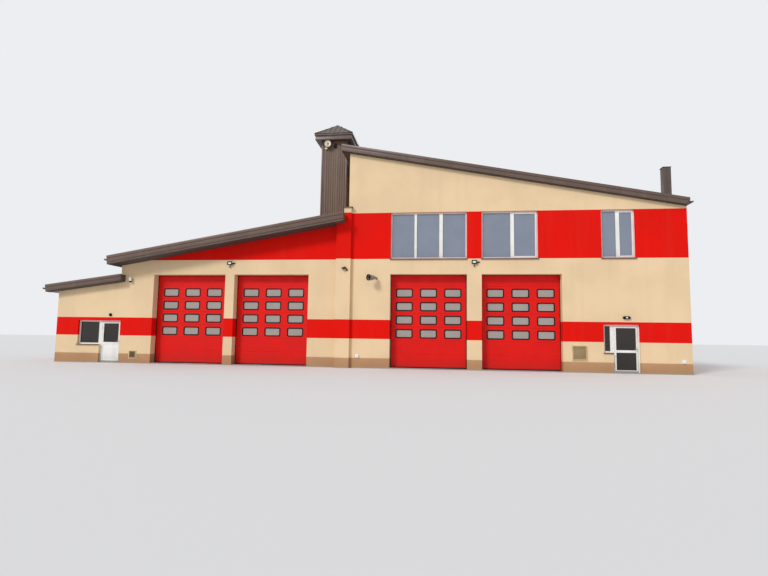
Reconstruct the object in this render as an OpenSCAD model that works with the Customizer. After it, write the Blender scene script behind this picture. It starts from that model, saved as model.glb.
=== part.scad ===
// Fire station building: a tall two-storey block, a low garage block and a small annex in one row.
// Lengths are in millimetres, +Z is up and the street front faces -Y.
// The origin lies on the ground, in the middle of the footprint.

/* [Footprint] */
// Width of the annex, from its outer wall to the low block
annex_w = 3200; // [2900:20:3600]
// Width of the low garage block, from its outer wall to the tall block
low_w = 11060; // [10900:20:12400]
// Width of the tall block
tall_w = 14540; // [14300:20:16000]
// Depth of all three blocks, from the front to the rear
depth = 11000; // [9000:100:13000]
// How far the low block's front stands behind the tall block's front
low_setback = 110; // [60:10:200]

/* [Walls] */
// Thickness of the outer walls
wall_t = 420; // [350:10:460]
// Height of the tall block's right wall above the heads of its upper windows
lintel_h = 100; // [60:10:300]
// Height of the low block's left wall above the garage doors, up to the roof's underside
low_eave_rise = 440; // [300:10:700]
// Height from the head of the garage doors down to the underside of the annex roof at its left wall
annex_eave_drop = 800; // [700:10:1000]
// Height from the head of the garage doors down to the foot of the low block's left wall
low_left_wall_drop = 700; // [600:20:800]
// Thickness of the floor slab above the ground
floor_t = 30; // [20:5:60]
// Height of the upper floor above the heads of the garage doors
upper_floor_rise = 600; // [450:10:800]
// Thickness of the upper floor
upper_floor_t = 280; // [200:10:360]

/* [Fire wall] */
// Width of the pilaster that ends the fire wall at the front
pilaster_w = 660; // [600:10:720]
// Width of the pilaster above the low roof
pilaster_head_w = 330; // [240:10:420]
// Thickness of the fire wall behind the pilaster
fire_wall_t = 520; // [480:10:560]
// How far the pilaster stands in front of the tall block's face
pilaster_out = 170; // [80:10:250]
// Height of the fire wall above the eave of the tall block
fire_wall_rise = 130; // [60:10:300]
// Thickness of the metal coping
coping_t = 30; // [15:5:80]
// Overhang of the metal coping
coping_over = 60; // [20:5:100]

/* [Roofs] */
// Rise of the tall block's roof over a metre
tall_pitch = 187; // [140:1:230]
// Rise of the low block's roof over a metre
low_pitch = 173; // [140:1:195]
// Rise of the annex's roof over a metre
annex_pitch = 135; // [100:1:170]
// Thickness of the tall roof, measured upright
tall_roof_t = 300; // [240:10:360]
// Thickness of the low roof, measured upright
low_roof_t = 380; // [280:10:400]
// Thickness of the annex roof, measured upright
annex_roof_t = 320; // [240:10:360]
// Overhang of the tall roof past the front and rear walls
tall_verge_over = 200; // [120:10:400]
// Overhang of the low roof past the front and rear walls
low_verge_over = 800; // [400:10:900]
// Overhang of the annex roof past the front and rear walls
annex_verge_over = 350; // [200:10:500]
// Overhang of the tall roof past its high left wall
tall_ridge_over = 360; // [150:10:400]
// Overhang of the tall roof past its right wall
tall_eave_over = 50; // [30:10:300]
// Overhang of the low roof past its left wall
low_eave_over = 250; // [200:10:400]
// Overhang of the annex roof past its left wall
annex_eave_over = 450; // [200:10:600]
// How far the low roof's verge runs on in front of the pilaster
low_verge_run = 400; // [340:10:600]
// How far the annex roof's verge runs on in front of the low block
annex_verge_run = 430; // [200:10:500]
// Height of the verge boards with their trim
verge_h = 310; // [240:5:330]
// Thickness of the verge boards
board_t = 28; // [18:2:40]
// How far the foot of a verge board is cut back at the eave
verge_cut = 160; // [60:10:220]
// Height of the upper verge trim
trim_h = 125; // [80:5:160]
// How far the upper verge trim stands in front of the board
trim_out = 26; // [10:2:50]
// How far the upper verge trim rises above the roof
trim_rise = 20; // [10:5:60]

/* [Gutters and downpipes] */
// Width of the gutters
gutter_w = 160; // [120:5:180]
// Wall thickness of the gutters
gutter_t = 6; // [3:1:10]
// Height of a gutter's rim below the top of its roof
gutter_drop = 125; // [80:5:180]
// Diameter of the downpipes
pipe_d = 100; // [80:5:110]
// Clear distance between a downpipe and its wall
pipe_off = 40; // [20:5:80]
// Distance of the downpipes from the front or the rear of the walls
pipe_in = 520; // [450:10:900]
// Height of a pipe clip
clip_h = 40; // [20:5:60]

/* [Garage doors] */
// Height of the garage door openings
garage_h = 4200; // [3900:20:4400]
// Width of the two garage doors of the low block
low_door_w = 3550; // [3200:10:3650]
// Left edge of the first garage door, from the low block's left wall
low_door_x = 1675; // [1500:5:1800]
// Pier between the two garage doors of the low block
low_pier_w = 440; // [300:10:600]
// Width of the two garage doors of the tall block
tall_door_w = 3400; // [3200:10:3600]
// Left edge of the third garage door, from the tall block's left wall
tall_door_x = 1930; // [1600:10:2100]
// Pier between the two garage doors of the tall block
tall_pier_w = 640; // [400:10:800]
// Thickness of a garage door's panels
panel_t = 45; // [30:1:60]
// How far a garage door's panels reach behind the wall at each side
panel_lap = 60; // [30:5:100]
// Height of a garage door's sections, from the floor up. The top one takes the rest
section_h = 610; // [550:5:620]
// Blank sections at the foot of a garage door
blank_rows = 2; // [1:1:3]
// Width of the V groove between two sections
section_groove = 16; // [8:1:24]
// Number of glazed sections above them
glazed_rows = 4; // [1:1:4]
// Windows in each glazed section
glazed_cols = 3; // [1:1:4]
// Distance between the middles of two windows side by side
pane_pitch = 1085; // [1000:5:1100]
// Width of a garage door window
pane_w = 700; // [500:10:760]
// Height of a garage door window
pane_h = 345; // [250:5:400]
// Corner radius of a garage door window
pane_r = 60; // [20:5:100]
// Thickness of the glass
glass_t = 24; // [12:1:30]

/* [Upper windows] */
// Height of the upper windows' underside above the upper floor
window_rise = 90; // [60:10:400]
// Height of the upper windows
window_h = 2110; // [1600:10:2130]
// Width of the middle upper window
mid_window_w = 2430; // [1800:10:3000]
// Width of the right upper window
right_window_w = 1400; // [1000:10:1800]
// How far the frames stand behind the wall's face
frame_recess = 120; // [60:5:200]
// Thickness of the frames, from front to back
frame_t = 70; // [50:2:90]
// Width of a fixed frame member
frame_w = 60; // [50:2:90]
// Width of a plain mullion between two lights
mullion_w = 100; // [60:5:130]
// Width of a mullion that couples two frames
coupler_w = 150; // [100:5:180]
// Height of a window sill
sill_h = 40; // [15:1:60]
// How far a window sill stands in front of the wall
sill_out = 60; // [20:5:80]
// How far a window sill runs past its opening at each side
sill_over = 25; // [10:5:60]

/* [Entrance doors] */
// Height of the right entrance
entrance_h = 2040; // [1950:10:2200]
// Width of the right entrance, with its side window
entrance_w = 1460; // [1420:10:1700]
// Left edge of the right entrance, from the tall block's left wall
entrance_x = 11040; // [10600:10:11300]
// Height of the sill under the right entrance's side window
entrance_sill_z = 860; // [600:10:1000]
// Height of the annex entrance
annex_door_h = 2000; // [1900:10:2200]
// Width of the annex entrance, with its side window
annex_door_w = 2160; // [2050:10:2400]
// Left edge of the annex entrance, from the annex's left wall
annex_door_x = 1130; // [900:10:1240]
// Height of the sill under the annex window
annex_sill_z = 870; // [600:10:1000]
// Width of the right entrance's door leaf
entrance_leaf_w = 940; // [880:10:980]
// Width of the annex's door leaf
annex_leaf_w = 900; // [860:10:960]
// Width of the post between a leaf and its side window
post_w = 160; // [120:5:200]
// Width of a leaf's stiles, top rail and middle rail
stile_w = 95; // [80:5:140]
// Height of a leaf's bottom rail
kick_rail_h = 120; // [100:5:200]
// Height of the middle of a leaf's middle rail
mid_rail_z = 925; // [800:5:1100]
// Depth of the panel's recess in the annex's leaf
panel_inset = 12; // [4:1:20]
// Running gap between a leaf and its frame at the hinges and above
leaf_gap = 6; // [5:1:8]
// Running gap between a leaf and its frame at the lock
lock_gap = 10; // [8:1:12]
// Running gap between a leaf and the threshold
foot_gap = 6; // [5:1:12]
// Height of the threshold
threshold_h = 14; // [10:1:30]
// Distance from a leaf's outer face to its hinge axis
hinge_off = 16; // [14:1:20]
// Radius of a hinge knuckle
hinge_r = 11; // [8:1:12]
// Gap between the two knuckles of a hinge
hinge_gap = 0.3; // [0.2:0.1:1]
// Length of a hinge, both knuckles together
hinge_h = 110; // [80:5:140]
// Height of a door handle
handle_z = 1020; // [900:10:1100]
// Length of a door handle's lever
lever_l = 120; // [100:5:140]
// Radius of a door handle's lever and neck
lever_r = 9; // [7:1:12]
// Distance of a door handle's lever from the leaf
handle_out = 50; // [35:1:60]
// Radius of a door handle's rose
rose_r = 26; // [20:1:30]

/* [Tower and flue] */
// Outer width of the hose tower
tower_w = 1260; // [1000:10:1400]
// Clear distance between the tower and the head of the fire wall
tower_gap = 360; // [100:10:500]
// Distance from the tall block's front to the tower's front
tower_y = 1900; // [1200:20:3000]
// Height of the tower's eave, at the top of its roof edge
tower_eave_z = 11480; // [10800:20:12000]
// Thickness of the tower's walls
tower_wall_t = 120; // [80:10:160]
// Overhang of the tower's roof edge
tower_over = 330; // [200:5:450]
// Height of the tower's roof edge and fascia together
tower_fascia_h = 320; // [200:10:400]
// Height of the tower's roof edge
tower_edge_h = 90; // [60:5:120]
// How far the tower's fascia stands back from the roof edge
fascia_back = 50; // [20:5:90]
// Rise of the tower's pyramid roof
tower_rise = 800; // [500:10:1000]
// Width of the flue
flue_w = 320; // [250:10:400]
// Height of the flue above the tall block's right wall
flue_rise = 1900; // [1500:10:2200]
// Distance from the tall block's right wall face to the flue
flue_in = 330; // [250:10:600]
// Distance from the tall block's front to the flue
flue_y = 600; // [500:10:1500]
// Overhang of the flue's cap
cap_over = 20; // [10:5:60]
// Thickness of the flue's cap
cap_t = 25; // [15:5:50]

/* [Fittings] */
// Width of the wall grille beside the fourth garage door
grille_w = 600; // [400:10:700]
// Height of the wall grille
grille_h = 620; // [400:10:700]
// Left edge of the wall grille, from the fourth garage door
grille_x = 370; // [200:10:600]
// Height of the wall grille's underside
grille_z = 515; // [460:5:700]
// Slats in the wall grille
slat_count = 12; // [6:1:16]
// Width and height of the vent beside the annex entrance
vent_w = 350; // [250:10:450]
// Left edge of the vent, from the annex entrance
vent_x = 540; // [400:10:700]
// Height of the vent's underside
vent_z = 240; // [150:10:400]
// Upright bars in the vent
vent_bars = 8; // [4:1:10]
// Width of an oval wall lamp
oval_w = 300; // [220:10:360]
// Height of an oval wall lamp
oval_h = 150; // [100:10:180]
// Depth of an oval wall lamp
oval_t = 90; // [60:5:120]
// Height of a lamp above an entrance
lamp_rise = 290; // [200:10:400]
// Height of a lamp above the garage doors
lamp_head = 520; // [400:10:650]
// Diameter of the round wall light
light_d = 150; // [120:5:200]
// Height of the round wall light
light_h = 290; // [200:5:350]
// Distance of the round wall light's axis from the annex entrance
light_x = 450; // [430:10:600]
// Distance of the round wall light's axis from the wall
light_out = 100; // [85:5:130]
// Height from the head of the garage doors down to the round wall light's underside
light_drop = 360; // [340:10:600]
// Radius of the wall horn's mouth
horn_r = 135; // [100:5:160]
// Length of the wall horn
horn_l = 400; // [300:10:450]
// Distance of the wall horn's mouth from the pilaster
horn_x = 800; // [500:10:1000]
// Height of the wall horn's axis below the heads of the garage doors
horn_drop = 190; // [100:10:400]
// Radius of the tower siren's mouth
siren_r = 165; // [120:5:190]
// Distance of the siren's mouth from the tower's wall
siren_out = 250; // [180:10:300]
// Height of the siren's axis below the tower's eave
siren_drop = 500; // [490:10:800]
// Width and height of a socket box
socket_w = 110; // [80:5:150]
// Height of a socket box's middle
socket_z = 540; // [500:10:700]
// Distance of the socket boxes from the pilaster and from the tall block's right edge
socket_x = 350; // [250:10:450]
// Length of the pilaster's camera
camera_l = 210; // [150:10:260]
// Height of the pilaster's camera above the heads of the garage doors
camera_rise = 245; // [100:5:400]

/* [Hidden] */

render_col = [0.90, 0.80, 0.66];
red_col = [0.80, 0.08, 0.05];
trim_col = [0.27, 0.23, 0.21];
white_col = [0.93, 0.94, 0.94];
glass_col = [0.45, 0.52, 0.56];
floor_col = [0.62, 0.61, 0.58];
grey_col = [0.66, 0.64, 0.60];

// Facets of a large, a middling and a small round
round_fn = 64;
bend_fn = 32;
rod_fn = 24;

// Small step that lets a cut pass through a face
cut = 10;

// Stations from left to right
building_w = annex_w + low_w + tall_w;
annex_x0 = -building_w / 2;
low_x0 = annex_x0 + annex_w;
tall_x0 = low_x0 + low_w;
tall_x1 = tall_x0 + tall_w;
fire_x0 = tall_x0 - fire_wall_t;
pilaster_x1 = fire_x0 + pilaster_w;
head_x0 = pilaster_x1 - pilaster_head_w;

// Stations from front to rear
front_y = -depth / 2;
rear_y = depth / 2;
low_front_y = front_y + low_setback;
pilaster_y = front_y - pilaster_out;
tall_verge_y = front_y - tall_verge_over;
low_verge_y = low_front_y - low_verge_over;
low_rear_y = rear_y + low_verge_over;
annex_verge_y = low_front_y - annex_verge_over;
annex_rear_y = rear_y + annex_verge_over;

// Heights
low_eave_z = garage_h + low_eave_rise;
annex_eave_z = garage_h - annex_eave_drop;
low_left_wall_z = garage_h - low_left_wall_drop;
light_z = garage_h - light_drop;
upper_floor_z = garage_h + upper_floor_rise;
window_z = upper_floor_z + window_rise;
tall_eave_z = window_z + window_h + lintel_h;
fire_wall_z = tall_eave_z + fire_wall_rise;
flue_z = tall_eave_z + flue_rise;
leaf_z0 = floor_t + threshold_h + foot_gap;

// Openings of the front, as left edges
door_1_x = low_x0 + low_door_x;
door_2_x = door_1_x + low_door_w + low_pier_w;
door_3_x = tall_x0 + tall_door_x;
door_4_x = door_3_x + tall_door_w + tall_pier_w;
door_4_x1 = door_4_x + tall_door_w;
entrance_x0 = tall_x0 + entrance_x;
entrance_x1 = entrance_x0 + entrance_w;
annex_door_x0 = annex_x0 + annex_door_x;
annex_door_x1 = annex_door_x0 + annex_door_w;

// Door leaves, hinged at their left edge, and the wall that ends beside them under the side window
entrance_leaf_x1 = entrance_x1 - frame_w - lock_gap;
entrance_leaf_x0 = entrance_leaf_x1 - entrance_leaf_w;
entrance_foot_x = entrance_leaf_x0 - leaf_gap - frame_w;
annex_leaf_x1 = annex_door_x1 - frame_w - lock_gap;
annex_leaf_x0 = annex_leaf_x1 - annex_leaf_w;
annex_foot_x = annex_leaf_x0 - leaf_gap - frame_w;

// Roof ends
tall_roof_x0 = tall_x0 - tall_ridge_over;
tall_roof_x1 = tall_x1 + tall_eave_over;
low_roof_x0 = low_x0 - low_eave_over;
low_verge_x1 = fire_x0 + low_verge_run;
annex_roof_x0 = annex_x0 - annex_eave_over;
annex_verge_x1 = low_x0 + annex_verge_run;

// Tower and flue
tower_x0 = head_x0 - tower_gap - tower_w;
tower_front_y = front_y + tower_y;
flue_x1 = tall_x1 - flue_in;
flue_front_y = front_y + flue_y;

// Upper windows: left edge, width, and the widths of their mullions from left to right
upper_windows = [
    [door_3_x, tall_door_w, [mullion_w, coupler_w]],
    [door_4_x, mid_window_w, [coupler_w]],
    [entrance_x0, right_window_w, [coupler_w]]
];

// Underside of each roof at a station x
metre = 1000;
function tall_under(x) = tall_eave_z + (tall_x1 - x) * tall_pitch / metre;
function low_under(x) = low_eave_z + (x - low_x0) * low_pitch / metre;
function annex_under(x) = annex_eave_z + (x - annex_x0) * annex_pitch / metre;

// Sum of the first n entries of a list
function sum_to(list, n) = n == 0 ? 0 : list[n - 1] + sum_to(list, n - 1);

// Upright plate: an outline in X and Z, extruded from y0 to y1
module plate(points, y0, y1) {
    translate([0, y1, 0])
        rotate([90, 0, 0])
            linear_extrude(height = y1 - y0)
                polygon(points);
}

// Upright plate with level foot at z and a sloping head, from (x0, z0) to (x1, z1)
module wall(x0, x1, z, z0, z1, y0, y1) {
    plate([[x0, z], [x1, z], [x1, z1], [x0, z0]], y0, y1);
}

// Box between two corners
module block(low, high) {
    translate(low)
        cube(high - low);
}

// Rectangle with round corners, centred
module round_rect(w, h, r) {
    square([w - 2 * r, h], center = true);
    square([w, h - 2 * r], center = true);
    for (sx = [-1, 1], sy = [-1, 1])
        translate([sx * (w / 2 - r), sy * (h / 2 - r)])
            circle(r = r, $fn = bend_fn);
}

module ground_slab() {
    color(floor_col)
        union() {
            block([tall_x0, front_y, 0], [tall_x1, rear_y, floor_t]);
            block([annex_x0, low_front_y, 0], [tall_x0, rear_y, floor_t]);
            block([fire_x0, pilaster_y, 0], [pilaster_x1, low_front_y, floor_t]);
        }
}

module upper_floor() {
    color(floor_col)
        block(
            [tall_x0 + wall_t, front_y + wall_t, upper_floor_z - upper_floor_t],
            [tall_x1 - wall_t, rear_y - wall_t, upper_floor_z]
        );
}

// One pier of a garage front, from x0 to x1
module pier(x0, x1, y0) {
    block([x0, y0, floor_t], [x1, y0 + wall_t, garage_h]);
}

module tall_front_piers() {
    color(render_col) {
        pier(tall_x0, door_3_x, front_y);
        pier(door_3_x + tall_door_w, door_4_x, front_y);
        pier(door_4_x1, entrance_x0, front_y);
        pier(entrance_x1, tall_x1, front_y);
    }
}

// Row of upper windows as holes through a wall that starts at y0
module upper_window_holes(y0) {
    for (w = upper_windows)
        block([w[0], y0 - cut, window_z], [w[0] + w[1], y0 + wall_t + cut, window_z + window_h]);
}

module tall_front_wall() {
    color(render_col)
        difference() {
            wall(
                tall_x0, tall_x1, garage_h, tall_under(tall_x0), tall_under(tall_x1),
                front_y, front_y + wall_t
            );
            upper_window_holes(front_y);
        }
}

module entrance_wall() {
    color(render_col) {
        block([entrance_x0, front_y, entrance_h], [entrance_x1, front_y + wall_t, garage_h]);
        block([entrance_x0, front_y, floor_t], [entrance_foot_x, front_y + wall_t, entrance_sill_z]);
    }
}

module tall_rear_wall() {
    color(render_col)
        difference() {
            wall(
                tall_x0, tall_x1, floor_t, tall_under(tall_x0), tall_under(tall_x1),
                rear_y - wall_t, rear_y
            );
            upper_window_holes(rear_y - wall_t);
        }
}

module tall_side_walls() {
    color(render_col)
        for (x0 = [tall_x0, tall_x1 - wall_t])
            wall(
                x0, x0 + wall_t, floor_t, tall_under(x0), tall_under(x0 + wall_t),
                front_y + wall_t, rear_y - wall_t
            );
}

module fire_wall() {
    color(render_col)
        wall(
            fire_x0, tall_x0, floor_t, low_under(fire_x0), low_under(tall_x0),
            front_y, rear_y
        );
}

// Part of the fire wall above the low roof
module fire_wall_head() {
    color(render_col)
        plate(
            [
                [head_x0, low_under(head_x0)],
                [tall_x0, low_under(tall_x0)],
                [tall_x0, fire_wall_z],
                [head_x0, fire_wall_z]
            ],
            front_y, rear_y
        );
}

module pilaster() {
    color(render_col)
        plate(
            [
                [fire_x0, floor_t],
                [pilaster_x1, floor_t],
                [pilaster_x1, fire_wall_z],
                [head_x0, fire_wall_z],
                [head_x0, low_under(head_x0)],
                [fire_x0, low_under(fire_x0)]
            ],
            pilaster_y, front_y
        );
}

module fire_wall_coping() {
    color(trim_col)
        union() {
            block(
                [head_x0 - coping_over, pilaster_y - coping_over, fire_wall_z],
                [tall_x0, rear_y + coping_over, fire_wall_z + coping_t]
            );
            block(
                [head_x0 - coping_over, pilaster_y - coping_over, fire_wall_z],
                [pilaster_x1 + coping_over, front_y, fire_wall_z + coping_t]
            );
        }
}

module low_front_piers() {
    color(render_col) {
        pier(annex_door_x1, door_1_x, low_front_y);
        pier(door_1_x + low_door_w, door_2_x, low_front_y);
        pier(door_2_x + low_door_w, fire_x0, low_front_y);
    }
}

module low_front_wall() {
    color(render_col)
        wall(
            low_x0, fire_x0, garage_h, low_under(low_x0), low_under(fire_x0),
            low_front_y, low_front_y + wall_t
        );
}

module low_rear_wall() {
    color(render_col)
        wall(
            low_x0, fire_x0, floor_t, low_under(low_x0), low_under(fire_x0),
            rear_y - wall_t, rear_y
        );
}

module low_left_wall() {
    color(render_col)
        wall(
            low_x0, low_x0 + wall_t, low_left_wall_z, low_under(low_x0), low_under(low_x0 + wall_t),
            low_front_y + wall_t, rear_y - wall_t
        );
}

module annex_front_pier() {
    color(render_col)
        plate(
            [
                [annex_x0, floor_t],
                [annex_foot_x, floor_t],
                [annex_foot_x, annex_sill_z],
                [annex_door_x0, annex_sill_z],
                [annex_door_x0, annex_door_h],
                [annex_x0, annex_door_h]
            ],
            low_front_y, low_front_y + wall_t
        );
}

module annex_front_wall() {
    color(render_col)
        plate(
            [
                [annex_x0, annex_door_h],
                [annex_door_x1, annex_door_h],
                [annex_door_x1, garage_h],
                [low_x0, garage_h],
                [low_x0, annex_under(low_x0)],
                [annex_x0, annex_under(annex_x0)]
            ],
            low_front_y, low_front_y + wall_t
        );
}

module annex_left_wall() {
    color(render_col)
        wall(
            annex_x0, annex_x0 + wall_t, floor_t, annex_under(annex_x0), annex_under(annex_x0 + wall_t),
            low_front_y + wall_t, rear_y - wall_t
        );
}

module annex_rear_wall() {
    color(render_col)
        wall(
            annex_x0, low_x0, floor_t, annex_under(annex_x0), annex_under(low_x0),
            rear_y - wall_t, rear_y
        );
}

module tall_roof() {
    color(trim_col)
        plate(
            [
                [tall_roof_x0, tall_under(tall_roof_x0)],
                [tall_x1, tall_under(tall_x1)],
                [tall_roof_x1, tall_under(tall_roof_x1) + tall_roof_t - trim_h],
                [tall_roof_x1, tall_under(tall_roof_x1) + tall_roof_t],
                [tall_roof_x0, tall_under(tall_roof_x0) + tall_roof_t]
            ],
            tall_verge_y, rear_y + tall_verge_over
        );
}

// Stretch of the low roof from x0 to x1 and from y0 to y1
module low_roof_bay(x0, x1, y0, y1) {
    plate(
        [
            [x0, low_under(x0)],
            [x1, low_under(x1)],
            [x1, low_under(x1) + low_roof_t],
            [x0, low_under(x0) + low_roof_t]
        ],
        y0, y1
    );
}

module low_roof() {
    color(trim_col)
        union() {
            low_roof_bay(low_roof_x0, head_x0, low_verge_y, low_rear_y);
            low_roof_bay(head_x0 - cut, low_verge_x1, low_verge_y, pilaster_y - coping_over);
        }
}

// Stretch of the annex roof from x0 to x1 and from y0 to y1
module annex_roof_bay(x0, x1, y0, y1) {
    plate(
        [
            [x0, annex_under(x0)],
            [x1, annex_under(x1)],
            [x1, annex_under(x1) + annex_roof_t],
            [x0, annex_under(x0) + annex_roof_t]
        ],
        y0, y1
    );
}

module annex_roof() {
    color(trim_col)
        union() {
            annex_roof_bay(annex_roof_x0, low_x0, annex_verge_y, annex_rear_y);
            annex_roof_bay(low_x0 - cut, annex_verge_x1, annex_verge_y, low_front_y);
        }
}

// Verge of one side: a board, cut back at its foot, with a trim above it. It follows the top of a
// roof from the eave at (x0, z0) to the high end at (x1, z1), and faces the side s at the station y
module verge(x0, z0, x1, z1, y, s) {
    run = x1 > x0 ? verge_cut : -verge_cut;
    cut_z = (z1 - z0) * run / (x1 - x0);
    board_y = y + s * board_t;
    trim_y = y + s * (board_t + trim_out);
    plate(
        [
            [x0, z0],
            [x0, z0 - trim_h + trim_rise],
            [x0 + run, z0 + cut_z - verge_h + trim_rise],
            [x1, z1 - verge_h + trim_rise],
            [x1, z1]
        ],
        min(y, board_y), max(y, board_y)
    );
    plate(
        [
            [x0, z0 + trim_rise],
            [x0, z0 - trim_h + trim_rise],
            [x1, z1 - trim_h + trim_rise],
            [x1, z1 + trim_rise]
        ],
        min(y, trim_y), max(y, trim_y)
    );
}

// Verge of the tall roof, on the side s at the station y
module tall_verge(y, s) {
    verge(
        tall_roof_x1, tall_under(tall_roof_x1) + tall_roof_t,
        tall_roof_x0, tall_under(tall_roof_x0) + tall_roof_t, y, s
    );
}

// Verge of the low roof as far as x1, on the side s at the station y
module low_verge(x1, y, s) {
    verge(low_roof_x0, low_under(low_roof_x0) + low_roof_t, x1, low_under(x1) + low_roof_t, y, s);
}

// Verge of the annex roof as far as x1, on the side s at the station y
module annex_verge(x1, y, s) {
    verge(
        annex_roof_x0, annex_under(annex_roof_x0) + annex_roof_t,
        x1, annex_under(x1) + annex_roof_t, y, s
    );
}

module verge_boards() {
    color(trim_col) {
        tall_verge(tall_verge_y, -1);
        tall_verge(rear_y + tall_verge_over, 1);
        low_verge(low_verge_x1, low_verge_y, -1);
        low_verge(head_x0, low_rear_y, 1);
        annex_verge(annex_verge_x1, annex_verge_y, -1);
        annex_verge(low_x0, annex_rear_y, 1);
    }
}

// Lower half of a disc
module half_disc(r) {
    difference() {
        circle(r = r, $fn = round_fn);
        translate([-gutter_w, 0])
            square([2 * gutter_w, gutter_w]);
    }
}

// Half-round gutter with closed ends. Its roof edge is at x with the roof's top at z; its side is s
module gutter(x, z, y0, y1, s) {
    r = gutter_w / 2;
    translate([x + s * r, y1, z - gutter_drop])
        rotate([90, 0, 0])
            difference() {
                linear_extrude(height = y1 - y0)
                    half_disc(r);
                translate([0, 0, gutter_t])
                    linear_extrude(height = y1 - y0 - 2 * gutter_t)
                        circle(r = r - gutter_t, $fn = round_fn);
            }
}

module gutters() {
    color(trim_col) {
        gutter(
            tall_roof_x1, tall_under(tall_roof_x1) + tall_roof_t,
            tall_verge_y, rear_y + tall_verge_over, 1
        );
        gutter(low_roof_x0, low_under(low_roof_x0) + low_roof_t, low_verge_y, low_rear_y, -1);
        gutter(annex_roof_x0, annex_under(annex_roof_x0) + annex_roof_t, annex_verge_y, annex_rear_y, -1);
    }
}

// Downpipe with a swan neck, from the gutter of a roof edge at x down to the height z0. The roof is
// t thick with its underside at under_z, the wall face is at wall_x, and the side is s
module downpipe(x, under_z, t, wall_x, y, z0, s) {
    gutter_x = x + s * gutter_w / 2;
    pipe_x = wall_x + s * (pipe_off + pipe_d / 2);
    shift = abs(gutter_x - pipe_x);
    outlet_z = under_z + t - gutter_drop - gutter_w / 2;
    bend_z = under_z - pipe_d;
    foot_z = bend_z - shift;
    collar_d = pipe_d + cut;
    translate([gutter_x, y, bend_z])
        cylinder(d = pipe_d, h = outlet_z - bend_z, $fn = bend_fn);
    translate([pipe_x, y, foot_z])
        rotate([0, s * 45, 0])
            cylinder(d = pipe_d, h = shift * sqrt(2), $fn = bend_fn);
    translate([pipe_x, y, z0])
        cylinder(d = pipe_d, h = foot_z - z0, $fn = bend_fn);
    for (bend = [[gutter_x, bend_z], [pipe_x, foot_z]])
        translate([bend[0], y, bend[1]])
            cylinder(d = collar_d, h = pipe_d, center = true, $fn = bend_fn);
    for (clip_z = [z0 + (foot_z - z0) / 5, z0 + (foot_z - z0) * 3 / 5]) {
        translate([pipe_x, y, clip_z])
            cylinder(d = collar_d, h = clip_h, $fn = bend_fn);
        block(
            [min(wall_x, pipe_x), y - clip_h / 2, clip_z],
            [max(wall_x, pipe_x), y + clip_h / 2, clip_z + clip_h]
        );
    }
}

module downpipes() {
    low_foot_z = annex_under(low_x0 - pipe_off) + annex_roof_t;
    color(trim_col) {
        union()
            downpipe(
                tall_roof_x1, tall_under(tall_roof_x1), tall_roof_t,
                tall_x1, front_y + pipe_in, 0, 1
            );
        union()
            downpipe(
                low_roof_x0, low_under(low_roof_x0), low_roof_t,
                low_x0, rear_y - pipe_in, low_foot_z, -1
            );
        union()
            downpipe(
                annex_roof_x0, annex_under(annex_roof_x0), annex_roof_t,
                annex_x0, rear_y - pipe_in, 0, -1
            );
    }
}

module tower_walls() {
    top_z = tower_eave_z - tower_fascia_h;
    foot_x1 = tower_x0 + tower_w;
    color(trim_col)
        difference() {
            plate(
                [
                    [tower_x0, low_under(tower_x0) + low_roof_t],
                    [foot_x1, low_under(foot_x1) + low_roof_t],
                    [foot_x1, top_z],
                    [tower_x0, top_z]
                ],
                tower_front_y, tower_front_y + tower_w
            );
            block(
                [tower_x0 + tower_wall_t, tower_front_y + tower_wall_t, low_eave_z],
                [foot_x1 - tower_wall_t, tower_front_y + tower_w - tower_wall_t, top_z + cut]
            );
        }
}

// Gable prism of the width w along X and Y, turned by an angle about Z
module gable(w, rise, turn) {
    rotate([90, 0, turn])
        linear_extrude(height = w, center = true)
            polygon([[-w / 2, 0], [w / 2, 0], [0, rise]]);
}

// Pyramid roof with a roof edge, and a fascia that stands back under it
module tower_roof() {
    roof_w = tower_w + 2 * tower_over;
    fascia_w = roof_w - 2 * fascia_back;
    color(trim_col)
        translate([tower_x0 + tower_w / 2, tower_front_y + tower_w / 2, tower_eave_z])
            union() {
                block([-roof_w / 2, -roof_w / 2, -tower_edge_h], [roof_w / 2, roof_w / 2, 0]);
                block(
                    [-fascia_w / 2, -fascia_w / 2, -tower_fascia_h],
                    [fascia_w / 2, fascia_w / 2, -tower_edge_h]
                );
                intersection() {
                    gable(roof_w, tower_rise, 0);
                    gable(roof_w, tower_rise, 90);
                }
            }
}

module flue() {
    x0 = flue_x1 - flue_w;
    color(trim_col)
        union() {
            plate(
                [
                    [x0, tall_under(x0) + tall_roof_t],
                    [flue_x1, tall_under(flue_x1) + tall_roof_t],
                    [flue_x1, flue_z],
                    [x0, flue_z]
                ],
                flue_front_y, flue_front_y + flue_w
            );
            block(
                [x0 - cap_over, flue_front_y - cap_over, flue_z],
                [flue_x1 + cap_over, flue_front_y + flue_w + cap_over, flue_z + cap_t]
            );
        }
}

// Holes for the round-cornered windows of a garage door, in rows above its blank sections
module door_window_holes(x0, w, y) {
    first_x = x0 + w / 2 - (glazed_cols - 1) / 2 * pane_pitch;
    first_z = floor_t + (blank_rows + 1 / 2) * section_h;
    for (row = [0:glazed_rows - 1], col = [0:glazed_cols - 1])
        translate([first_x + col * pane_pitch, y + panel_t + cut, first_z + row * section_h])
            rotate([90, 0, 0])
                linear_extrude(height = panel_t + 2 * cut)
                    round_rect(pane_w, pane_h, pane_r);
}

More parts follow.
